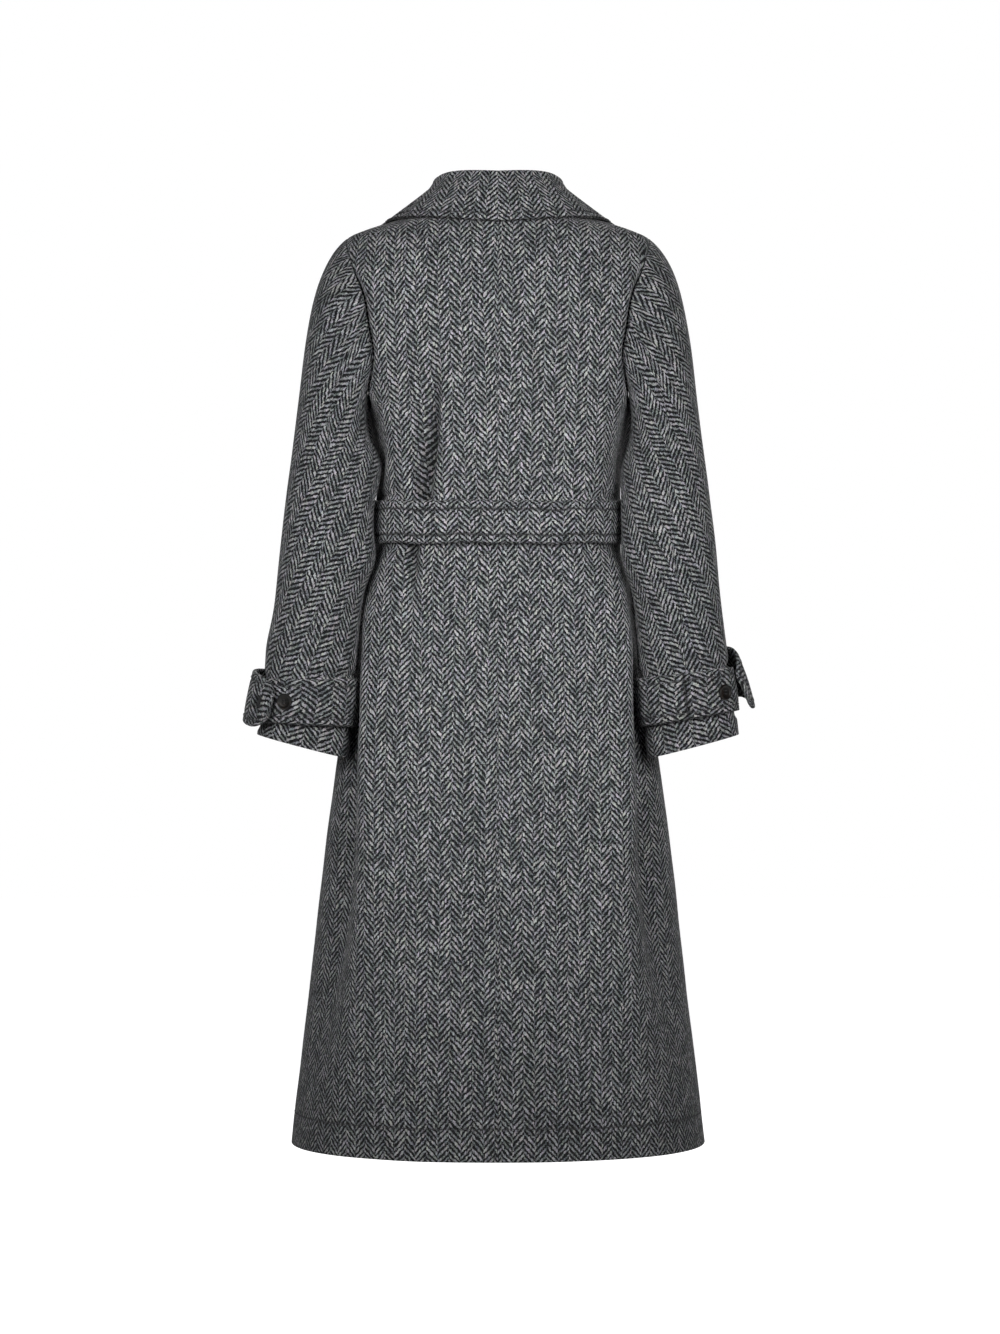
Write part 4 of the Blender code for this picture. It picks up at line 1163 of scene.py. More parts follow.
@dataclass
class ClothWall:
    """Closed wall of cloth on a grid, with a soft rounded edge all round and the weave on its grain map."""

    name: str
    nodes: Names
    side: Side
    outer: Array
    wall: float
    cut: Array
    held: Held
    weave: Array | None = None
    inner: Array | None = None
    edge: float = 0.0009
    rings: int = 3
    on_sleeve: bool = False
    # Painted shading of each outer point, also given to the rounded rim; the cloth's colour darkens by it.
    pressed: Array | None = None
    repeat: Pair = (0.0264, 0.00724)
    repeat_steps: tuple[int, int] = (3, 11)
    seeds: int = 61
    bead_out: float = 1.05
    rim_wrap: float = 1.2

    def build(self, wardrobe: Wardrobe, rests_on: Names = ()) -> None:
        """Outer face, inner face a wall further in, and a half round of rings from one edge to the other.

        Args:
            wardrobe: Finishes and ties.
            rests_on: Not used.
        """
        rows, columns = self.outer.shape[:2]
        shift = rows * columns
        index = np.arange(shift).reshape(rows, columns)
        inner = self.outer - self.wall * self.outward() if self.inner is None else self.inner
        outer, inner = self.outer.reshape(-1, 3).copy(), inner.reshape(-1, 3).copy()
        rim = np.concatenate([index[0, :-1], index[:-1, -1], index[-1, :0:-1], index[:0:-1, 0]])
        row, column = np.unravel_index(rim, (rows, columns))
        within = index[np.clip(row, 1, rows - 2), np.clip(column, 1, columns - 2)]
        run = unit(outer[np.roll(rim, -1)] - outer[np.roll(rim, 1)])
        away = outer[rim] - outer[within]
        step = np.linalg.norm(away, axis=-1, keepdims=True)
        away = unit(away - np.sum(away * run, axis=-1, keepdims=True) * run)
        outer[rim] -= self.edge * away
        inner[rim] -= self.edge * away
        middle, half = (outer[rim] + inner[rim]) / 2, (outer[rim] - inner[rim]) / 2
        swing = (math.pi * np.arange(1, self.rings + 1) / (self.rings + 1))[:, None, None]
        bead = middle + np.cos(swing) * half + self.bead_out * self.edge * np.sin(swing) * away
        points = np.concatenate([outer, inner, bead.reshape(-1, 3)]) * mirror(self.side)
        beads = np.arange(self.rings * len(rim)).reshape(-1, len(rim)) + 2 * shift
        face = np.stack([index[:-1, :-1], index[:-1, 1:], index[1:, 1:], index[1:, :-1]], -1).reshape(-1, 4)
        round_edge = self.quads(np.concatenate([rim[None], beads, rim[None] + shift])).reshape(-1, 4)
        grain = self.grain()
        slope = (grain[rim] - grain[within]) / step
        walked = np.arange(self.rings + 2)[:, None, None] * (self.wall * self.rim_wrap / (self.rings + 1))
        edge_grain = self.quads(grain[rim] + walked * slope).reshape(-1, 4, 2)
        faces = np.concatenate([face, face[:, ::-1] + shift, round_edge])
        corners = np.concatenate([grain[face], grain[face[:, ::-1]], edge_grain])
        made = add_mesh(self.name, points, faces, corners)
        # Painted shading as a point attribute: outer face and rim as given, inner face none.
        if self.pressed is not None:
            spread = np.broadcast_to(self.pressed, (rows, columns)).ravel()
            marks = np.concatenate([spread, np.zeros(shift), np.tile(spread[rim], self.rings)])
            layer = made.data.attributes.new("pressed", "FLOAT", "POINT")
            layer.data.foreach_set("value", marks.astype(np.float32))
        # Sleeve pieces take the darker copy of the cloth: painted shade.
        finish = wardrobe.sleeve_cloth if self.on_sleeve else wardrobe.cloth
        wardrobe.dress(made, finish, Slot.CLOTH, self.nodes)
        self.state(made)

    def grain(self) -> Array:
        """Grain map of each point, moved by whole repeats so that no two pieces are alike.

        Returns:
            Metres across and along the weave.
        """
        repeats = np.array(self.repeat_steps) * (sum(self.name.encode()) % self.seeds)
        moved = np.array(self.repeat) * repeats
        return (self.cut if self.weave is None else self.weave).reshape(-1, 2) + moved

    @staticmethod
    def quads(loops: Array) -> Array:
        """Four corners of each face between closed loops that follow each other."""
        after = np.roll(loops, -1, axis=1)
        return np.stack([after[:-1], loops[:-1], loops[1:], after[1:]], 2)

    def state(self, made: bpy.types.Object) -> None:
        """Work out the flat sheet that the piece is cut from, no smaller than the cloth that shows; the
        result is not kept.

        Args:
            made: The piece.
        """
        spread = np.ptp(self.cut.reshape(-1, 2), axis=0)
        area = half_area(made)
        scale = max(1.0, math.sqrt(area / (spread[0] * spread[1])))
        flat = (float(spread[0] * scale), float(spread[1] * scale))
        area = min(area, flat[0] * flat[1])

    def outward(self) -> Array:
        """Normals of the outer face; the grid runs so that they look out of the coat."""
        return grid_normal(self.outer)


@dataclass
class StitchRow:
    """Row of short sunk stitches along a line on a piece."""

    side: Side
    line: Array
    out: Array
    length: float = 0.0034
    gap: float = 0.0008
    radius: float = 0.00072
    sunk: float = 0.00006
    tip: float = 0.06
    arch: float = 2.2
    sink: float = 1.5
    wide: float = 1.15
    flat: float = 0.8
    spokes: int = 6
    lids: tuple[tuple[int, ...], ...] = ((0, 5, 4, 3), (0, 3, 2, 1), (30, 31, 32, 33), (30, 33, 34, 35))

    def arrays(self) -> tuple[Array, Array]:
        """Stitches as flat six-sided beads along the line, thick in the middle and sunk at both ends.

        Returns:
            Points and faces of all stitches.
        """
        walked = np.concatenate([[0.0], np.cumsum(np.linalg.norm(np.diff(self.line, axis=0), axis=1))])
        count = max(1, int(walked[-1] / (self.length + self.gap)))
        first = np.arange(count) * (walked[-1] / count)
        at = first[:, None] + self.gap / 2 + np.linspace(0.0, 1.0, self.spokes) * self.length
        middle, out = (
            np.stack([np.interp(at, walked, along[:, axis]) for axis in range(3)], -1)
            for along in (self.line, self.out)
        )
        out = unit(out)
        beside = unit(np.cross(out, unit(np.gradient(middle, axis=1))))
        swell = np.sqrt(np.sin(math.pi * np.linspace(self.tip, 1.0 - self.tip, self.spokes)))[:, None]
        middle = middle + out * (swell * self.arch - self.sink)[None] * self.radius - out * self.sunk
        turn = np.linspace(0.0, 2 * math.pi, self.spokes, endpoint=False)[:, None]
        ring = np.cos(turn) * beside[:, :, None] * self.wide + np.sin(turn) * out[:, :, None] * self.flat
        points = middle[:, :, None] + ring * (self.radius * swell)[None, :, None]
        one = np.concatenate([stack_faces(self.spokes, self.spokes), np.array(self.lids)])
        faces = one[None] + self.spokes**2 * np.arange(count)[:, None, None]
        return points.reshape(-1, 3) * mirror(self.side), faces.reshape(-1, 4)


def sew(name: str, rows: list[StitchRow], wardrobe: Wardrobe) -> None:
    """Join rows of stitches into one piece.

    Args:
        name: Name of the piece.
        rows: Rows of stitches.
        wardrobe: Finishes and ties.
    """
    points, faces, shift = [], [], 0
    for row in rows:
        row_points, row_faces = row.arrays()
        points.append(row_points)
        faces.append((row_faces[:, ::-1] if row.side is Side.RIGHT else row_faces) + shift)
        shift += len(row_points)
    made = add_mesh(name, np.concatenate(points), np.concatenate(faces))
    wardrobe.dress(made, wardrobe.thread, Slot.CLOTH)


# Pieces of the coat


@dataclass
class BodyPanels:
    """Back and front panels, hung from the shoulder seams to the hem."""

    form: BodyForm
    wardrobe: Wardrobe
    wall: float = 0.0025
    step: float = 0.005
    shoulder_step: float = 0.0035
    columns: int = 74
    fine_columns: int = 240
    armhole_steps: int = 44
    hem_stitch: float = 0.038
    stitch_depth: float = 0.0007
    stitch_reach: float = 0.0018
    # Painted shading of the back panels: painted shade along the hem stitching, in sunk creases, in the
    # armhole cleft, past the skirt's fold edges, at the shoulders and near the hem; painted highlight on
    # raised creases and beside each fold edge.
    stitch_press: float = 0.45
    crease_press: float = 0.55
    side_press: float = 0.10
    edge_press: float = 0.12
    cleft_press: float = 0.80
    end_press: float = 0.07
    deepest: float = 0.012
    least_sunk: float = -0.3
    fold_top: float = -0.380
    shade_lead: float = 1.0
    shade_ramp: float = 6.0
    ridge_at: float = 3.0
    ridge_half: float = 2.0
    cleft_top: float = -0.075
    cleft_foot: float = -0.275
    cleft_ramps: Pair = (0.05, 0.03)
    cleft_at: float = 1.0
    cleft_half: float = 2.2
    shoulder_from: float = -0.06
    shoulder_ramp: float = 0.05
    hem_from: float = -0.95
    skirt_from: float = -0.48
    skirt_ramp: float = 0.12
    seam_taper: Table = Table(
        ("height", "cloth"),
        (
            (-1.107, -0.004), (-0.700, -0.001), (-0.400, 0.003), (-0.300, 0.001), (-0.235, 0.0),
            (-0.090, -0.004), (0.030, -0.005),
        ),
    )
    stitches: list[StitchRow] = field(default_factory=list)

    def heights(self) -> Array:
        """Heights of the rows: even on the skirt, finer at the hem stitching and through the armhole.

        Returns:
            Rising heights.
        """
        form = self.form
        low = stations(form.hem, form.underarm, self.step, (form.hem + self.hem_stitch,))
        middle = (form.shoulder_tip + form.underarm) / 2
        turns = np.linspace(math.pi, 0.0, self.armhole_steps, endpoint=False)[1:]
        armhole = middle + (form.shoulder_tip - middle) * np.cos(turns)
        return np.concatenate([low, armhole, stations(form.shoulder_tip, form.neck, self.shoulder_step)])

    def angles(self, first: Array, last: Array, heights: Array, side: Side) -> Array:
        """Angles of each row's points, evenly spaced along the cloth between two seams.

        Args:
            first: Angle of the first edge at each height.
            last: Angle of the last edge at each height.
            heights: Heights of the rows.
            side: Half of the coat.

        Returns:
            Grid of angles.
        """
        fine = first[:, None] + (last - first)[:, None] * np.linspace(0.0, 1.0, self.fine_columns)
        walked = row_lengths(self.form.plain(fine, heights[:, None], side))
        share = np.linspace(0.0, 1.0, self.columns)
        return np.array([np.interp(share * length[-1], length, angle) for angle, length in zip(fine, walked)])

    def surface(self, angles: Array, heights: Array, side: Side, wraps: bool) -> Array:
        """Outer face of a panel on its grid, with the groove of the hem stitching.

        Args:
            angles: Angles round the body.
            heights: Heights of the rows.
            side: Half of the coat.
            wraps: Whether the panel lies over the other front.

        Returns:
            Points of the left half.
        """
        tall = np.broadcast_to(heights[:, None], angles.shape)
        lift = self.form.wrapped(self.form.plain(angles, tall, side)[..., 0], tall) if wraps else 0.0
        outer = self.form.creased(angles, tall, side, lift)
        groove = self.stitch_depth * bell(tall - self.form.hem - self.hem_stitch, self.stitch_reach)
        return outer - groove[..., None] * self.form.normal(angles, tall, side)

    def worn(self, angles: Array, heights: Array, side: Side) -> Array:
        """Painted shading of the back: painted shade in creases and clefts, past the skirt's folds and at
        both ends, painted highlight on raised creases and beside the fold edges.

        Args:
            angles: Angles round the body.
            heights: Heights of the rows.
            side: Half of the coat.

        Returns:
            Shares of full painted shade, below 0 where a painted highlight lies.
        """
        form = self.form
        # Painted shade in sunk creases, painted highlight on raised ones.
        sunk = np.clip(-form.pinched(angles, heights, side) / self.deepest, self.least_sunk, 1.0)
        # Painted shade past each fold edge of the skirt, painted highlight along a ridge beside it.
        edge = form.fold_edge.read(side.label, np.clip(heights, form.hem, self.fold_top))
        past_edge = edge - np.degrees(angles)
        shaded = self.side_press * smooth((past_edge + self.shade_lead) / self.shade_ramp)
        shaded = shaded - self.edge_press * bell(past_edge + self.ridge_at, self.ridge_half)
        # Painted shade in the cleft beside the armhole.
        from_armhole = np.degrees(angles - form.armhole_angle(heights, form.armhole_back))
        above, below = self.cleft_ramps
        cleft = smooth((self.cleft_top - heights) / above) * smooth((heights - self.cleft_foot) / below)
        cleft = self.cleft_press * cleft * bell(from_armhole - self.cleft_at, self.cleft_half)
        # Painted shade at the shoulders and near the hem.
        ends = smooth((heights - self.shoulder_from) / self.shoulder_ramp)
        ends = ends + smooth((self.hem_from - heights) / self.skirt_ramp)
        on_skirt = smooth((self.skirt_from - heights) / self.skirt_ramp)
        return self.crease_press * sunk + cleft + shaded * on_skirt + self.end_press * ends

    def back(self, side: Side) -> None:
        """Back panel from the centre-back seam to the side seam, armhole and shoulder seam.

        Args:
            side: Half of the coat.
        """
        heights = self.heights()
        edge = self.form.armhole_angle(heights, self.form.armhole_back)
        middle = np.full(heights.shape, math.pi / 2)
        angles = self.angles(middle, edge, heights, side)
        outer = self.surface(angles, heights, side, False)
        cut = np.stack([row_lengths(outer), warp_lengths(outer)], -1)
        plain = self.form.plain(angles, heights[:, None], side)
        taper = self.seam_taper.read("cloth", heights)[:, None]
        weave = np.stack([row_lengths(plain) + taper, warp_lengths(plain)], -1)
        nodes = (f"back_{side.label}", f"skirt_back_{side.label}")
        worn = self.worn(angles, heights[:, None], side)
        self.hang(nodes, side, outer, cut, weave, worn)

    def front(self, side: Side) -> None:
        """Front panel from the side seam and armhole to its wrapped edge and roll line.

        Args:
            side: Half of the coat.
        """
        heights = self.heights()
        edge = -self.form.armhole_angle(heights, self.form.armhole_front)
        free_x = self.form.edge_x(heights)
        angles = self.angles(edge, self.form.front_angle(free_x, heights), heights, side)
        outer = self.surface(angles, heights, side, side is Side.RIGHT)
        walked = row_lengths(outer)
        across = free_x[:, None] + walked[:, -1:] - walked
        along = warp_lengths(outer)
        cut, weave = np.stack([walked, along], -1), np.stack([across, along], -1)
        self.hang((f"front_{side.label}",), side, outer, cut, weave, np.zeros(angles.shape))

    def hang(
        self, nodes: Names, side: Side, outer: Array, cut: Array, weave: Array, pressed: Array
    ) -> None:
        """Make one panel and keep the line of its hem stitching.

        Args:
            nodes: Solids that it replaces.
            side: Half of the coat.
            outer: Its outer face.
            cut: Flat cut of each point.
            weave: Grain map of each point.
            pressed: Painted shading at each point.
        """
        outer = outer[:, ::-1]
        # Painted shade along the hem stitching.
        hem = self.stitch_press * bell(self.heights() - self.form.hem - self.hem_stitch, self.stitch_reach)
        pressed = pressed + hem[:, None]
        name = f"{nodes[0]}_cloth"
        wall = ClothWall(name, nodes, side, outer, self.wall, cut[:, ::-1], Held.HUNG, weave[:, ::-1])
        wall.pressed = pressed[:, ::-1]
        out = wall.outward()
        if np.mean(out * (outer - outer.mean(axis=(0, 1)) * UP)) < 0:
            wall.outer, wall.cut, wall.weave, wall.pressed = outer[:, ::-1], cut, weave, pressed
            out = wall.outward()
        wall.build(self.wardrobe)
        row = nearest(self.heights() - self.form.hem, self.hem_stitch)
        self.stitches.append(StitchRow(side, wall.outer[row], out[row]))

    def build(self) -> None:
        """All four panels and the stitching of the hem."""
        for side in Side:
            self.back(side)
            self.front(side)
        sew("hem_stitching", self.stitches, self.wardrobe)


@dataclass
class Sleeves:
    """Two-piece sleeves: an upper and an under half between a back seam and a front seam."""

    form: SleeveForm
    wardrobe: Wardrobe
    wall: float = 0.0025
    columns: int = 44
    head_steps: int = 52
    tube_steps: int = 76
    back_seam: float = math.radians(90)
    front_seam: float = math.radians(270)
    spare_share: float = 0.4
    upper_from: float = math.radians(-5)
    upper_ramp: float = math.radians(85)
    under_from: float = math.radians(150)
    under_ramp: float = math.radians(60)
    grain: Table = Table(
        ("travel", "tilt", "across", "along"),
        ((0.0, 25.0, 0.92, 1.03), (1.0, 22.0, 0.91, 1.03), (1.4, 20.0, 0.88, 1.05), (2.0, 6.0, 0.72, 1.12)),
    )

    def half(self, side: Side, name: str, first: float, last: float) -> None:
        """One half of a sleeve, its weave slanting outwards down the arm.

        Args:
            side: Half of the coat.
            name: Upper or under.
            first: Turn of its first edge.
            last: Turn of its last edge.
        """
        turn = np.linspace(first, last, self.columns)
        head = np.linspace(0.0, 1.0, self.head_steps, endpoint=False)
        travel = np.concatenate([head, np.linspace(1.0, 2.0, self.tube_steps)])
        turn, travel = np.broadcast_arrays(turn[None, :], travel[:, None])
        outer = self.form.creased(turn, travel, side)
        around = row_lengths(outer)
        girth = around[self.head_steps, -1]
        spare = around[:, -1:] - girth
        if name == "upper":
            width = around * np.minimum(1.0, girth / around[:, -1:])
            eased = self.spare_share * np.clip((self.upper_from - turn) / self.upper_ramp, 0.0, 1.0)
            around = around - around[:, -1:] + spare * eased
        else:
            width = around = around - spare * smooth((turn - self.under_from) / self.under_ramp)
        down = warp_lengths(outer)
        tilt = np.radians(self.grain.read("tilt", travel))
        cosine, sine = np.cos(tilt), np.sin(tilt)
        across = (around * cosine + self.gathered(down, sine)) * self.grain.read("across", travel)
        along = (around * sine - self.gathered(down, cosine)) * self.grain.read("along", travel)
        node = f"sleeve_{name}_{side.label}"
        cut, weave = np.stack([width, down], -1), np.stack([across, along], -1)
        wall = ClothWall(
            f"{node}_cloth", (node,), side, outer[::-1], self.wall, cut[::-1], Held.HUNG, weave[::-1]
        )
        wall.on_sleeve = True
        wall.build(self.wardrobe)

    def gathered(self, down: Array, share: Array) -> Array:
        """Length walked down the sleeve, each step weighted by a share, counted back from the cuff.

        Args:
            down: Length walked to each point.
            share: Share at each point.

        Returns:
            Weighted lengths, 0 at the cuff.
        """
        steps = np.diff(down, axis=0) * (share[1:] + share[:-1]) / 2
        total = np.concatenate([np.zeros((1, self.columns)), np.cumsum(steps, axis=0)])
        return total - total[-1:]

    def build(self) -> None:
        """Both halves of both sleeves."""
        for side in Side:
            self.half(side, "upper", self.front_seam - 2 * math.pi, self.back_seam)
            self.half(side, "under", self.back_seam, self.front_seam)


@dataclass
class Collar:
    """Fold-over collar: a stand round the neck, a fold at its top, and a fall over the shoulders."""

    form: BodyForm
    wardrobe: Wardrobe
    wall: float = 0.003
    fold_radius: float = 0.005
    fall_clear: float = 0.0015
    roll_clear: float = 0.0013
    clear_ramp: float = 0.08
    stand_lean: float = 0.002
    neck_round: float = 0.9
    neck_centre_y: float = -0.004
    neck_point: float = 0.66
    columns: int = 110
    stand_steps: int = 7
    fold_steps: int = 9
    fall_steps: int = 26
    stitch_from_edge: float = 0.010
    stitch_depth: float = 0.0008
    stitch_reach: float = 0.0020
    # Painted shade along the stitch row and a painted shadow line along the free edge.
    stitch_press: float = 0.3
    stitch_margin: int = 4
    edge_press: float = 0.95
    edge_round: float = 0.0012
    back_share: float = 0.62
    weave_stretch: float = 1.12
    rows: Table = Table(
        ("along", "neck_angle", "neck_height", "stand", "edge_angle", "edge_height", "bulge"),
        (
            (0.00, 90.0, 0.0270, 0.0250, 90.0, -0.0125, 0.003),
            (0.28, 45.0, 0.0270, 0.0272, 45.0, -0.0050, 0.000),
            (0.55, 0.0, 0.0270, 0.0232, 0.0, -0.0030, -0.008),
            (0.66, -19.4, 0.0270, 0.025, -18.0, -0.0080, 0.000),
            (1.00, -72.0, -0.0120, 0.009, -54.0, -0.0500, 0.003),
        ),
    )

    def half(self, along: Array, side: Side) -> Array:
        """Half the collar: a straight stand, a half circle at the fold, and a bulged fall to the edge.

        Args:
            along: 0 at the centre back to 1 at the front end.
            side: Half of the coat.

        Returns:
            Grid of points, from the neck seam over the fold to the free edge.
        """
        form = self.form
        neck_height = self.rows.read("neck_height", along)
        roll = form.front_angle(form.edge_x(neck_height), neck_height)
        neck_angle = np.where(along > self.neck_point, roll, np.radians(self.rows.read("neck_angle", along)))
        stand = self.rows.read("stand", along)[:, None]
        edge_angle = np.radians(self.rows.read("edge_angle", along))
        edge_height = self.rows.read("edge_height", along)
        neck = form.plain(neck_angle, neck_height, side)
        out_x, out_y = neck[:, 0] * self.neck_round, neck[:, 1] - self.neck_centre_y
        out = unit(np.stack([out_x, out_y, np.zeros(len(along))], -1))
        clear = unit(form.plain(neck_angle - NUDGE, neck_height, side) - neck)
        at_front = smooth(1.0 - (self.neck_point - along) / self.clear_ramp)[:, None]
        clear = self.roll_clear * at_front * clear
        foot = neck - (self.wall + REST_GAP) * out + REST_GAP * UP + clear
        edge_out = form.normal(edge_angle, edge_height, side)
        edge = form.plain(edge_angle, edge_height, side) + (self.fall_clear + self.wall) * edge_out
        shoulder = foot + (stand - self.fold_radius) * UP + self.stand_lean * out
        rise = np.linspace(0.0, 1.0, self.stand_steps)[:, None, None]
        swing = np.linspace(math.pi, 0.0, self.fold_steps)[1:-1, None, None]
        fold = shoulder + self.fold_radius * ((1 + np.cos(swing)) * out + np.sin(swing) * UP)
        start = shoulder + 2 * self.fold_radius * out
        lengths = np.linalg.norm(edge - start, axis=1)
        length = float(np.mean(lengths))
        mark = 1.0 - self.stitch_from_edge / length
        part = stations(0.0, 1.0, 1.0 / self.fall_steps, (mark,), MARK_REACH / length)[:, None, None]
        bulge = self.rows.read("bulge", along)[:, None] * unit(edge_out + out)
        fall = start + (edge - start) * part + np.sin(math.pi * part) * bulge
        from_edge = (1.0 - part) * lengths[:, None]
        groove = self.stitch_depth * bell(from_edge - self.stitch_from_edge, self.stitch_reach)
        fall = fall - groove * unit(edge_out + out)
        return np.concatenate([foot + (shoulder - foot) * rise, fold, fall])

    def build(self) -> None:
        """The whole collar in one piece, with a row of stitches along its free edge."""
        low = np.linspace(0.0, self.neck_point, int(self.columns * self.back_share), endpoint=False)
        along = np.concatenate([low, np.linspace(self.neck_point, 1.0, self.columns - len(low))])
        left = self.half(along, Side.LEFT)
        right = self.half(along, Side.RIGHT) * mirror(Side.RIGHT)
        visible = np.concatenate([left[:, ::-1], right[:, 1:]], axis=1)
        out = -grid_normal(visible)
        centre = len(along) - 1
        across = row_lengths(visible)
        across = across - across[:, centre : centre + 1]
        middle = visible.shape[0] * 2 // 3
        weave_across = 0.5 * across + 0.5 * across[middle : middle + 1]
        down = column_lengths(visible)
        cut = np.stack([across, down], -1)
        weave = np.stack([weave_across, (down[-1:] - down) * self.weave_stretch], -1)
        wall = ClothWall("collar_cloth", ("collar",), Side.LEFT, visible, self.wall, cut, Held.FOLDED, weave)
        wall.inner = visible - self.wall * out
        # Painted shade along the stitch row, painted shadow along the free edge.
        edge_length = down[-1, centre] - down[:, centre]
        stitched = self.stitch_press * bell(edge_length - self.stitch_from_edge, self.stitch_reach)
        wall.edge = self.edge_round
        wall.pressed = np.maximum(stitched, self.edge_press * bell(edge_length, self.edge_round))[:, None]
        wall.build(self.wardrobe, ("back_left", "back_right"))
        row = nearest(edge_length, self.stitch_from_edge)
        sewn = slice(self.stitch_margin, -self.stitch_margin)
        sew("collar_stitching", [StitchRow(Side.LEFT, visible[row, sewn], out[row, sewn])], self.wardrobe)


@dataclass
class Lapels:
    """Turned-back front edges, from the roll line to the outer edge, lying on the fronts."""

    form: BodyForm
    wardrobe: Wardrobe
    wall: float = 0.0025
    gap: float = 0.0014
    roll: float = 0.003
    start: dict[Side, float] = field(default_factory=lambda: {Side.LEFT: -0.212, Side.RIGHT: -0.262})
    top: float = -0.022
    tip_x: float = 0.128
    tip: float = -0.088
    foot: float = 0.012
    inset: float = 0.001
    covered: float = 0.005
    steps: int = 60
    columns: int = 34

    def build(self) -> None:
        """Both lapels: straight lines from the roll line to a bowed outer edge, rolled up between."""
        for side in Side:
            start = self.start[side]
            part = np.linspace(0.0, 1.0, self.steps)[:, None]
            across = np.linspace(0.0, 1.0, self.columns)[None, :]
            roll_height = start + (self.top - start) * part
            roll_x = self.form.edge_x(roll_height) + self.inset
            if side is Side.LEFT:
                roll_x = np.maximum(roll_x, self.covered - roll_x)
            outer_height = start + (self.tip - start) * part
            low = self.start[Side.RIGHT]
            foot_x = self.form.edge_x(np.array(low)) + self.foot
            bow = np.sqrt((outer_height - low) / (self.tip - low))
            x = roll_x + (foot_x + (self.tip_x - foot_x) * bow - roll_x) * across
            height = roll_height + (outer_height - roll_height) * across
            angle = self.form.front_angle(x, height)
            lift = self.form.wrapped(x, height) if side is Side.RIGHT else 0.0
            rolled = self.roll * np.sin(math.pi * across)
            base = self.form.plain(angle, height, side, self.gap + lift + rolled)
            outer = base + self.wall * self.form.normal(angle, height, side)
            node = f"lapel_{side.label}"
            wall = ClothWall(f"{node}_cloth", (node,), side, outer, self.wall, cut_of(outer), Held.FOLDED)
            wall.inner = base
            wall.build(self.wardrobe, (f"front_{side.label}",))


@dataclass(frozen=True)
class Quilting:
    """Two rows of stitches sunk into a strap along its edges, with a puff between them."""

    from_edge: float
    depth: float
    reach: float
    puff: float
    inset: float

    def mark(self, width: float) -> float:
        """Distance of both rows from the middle of a strap."""
        return width / 2 - self.from_edge

    def relief(self, from_middle: Array, width: float) -> Array:
        """Height of the strap: half a cosine wave across it, less a bell at each row."""
        share = np.clip(from_middle / (width - 2 * self.inset), -0.5, 0.5)
        return self.puff * np.cos(math.pi * share) - self.depth * self.sunk(from_middle, width)

    def sunk(self, from_middle: Array, width: float) -> Array:
        """Share of the full depth of its rows."""
        return bell(np.abs(from_middle) - self.mark(width), self.reach)


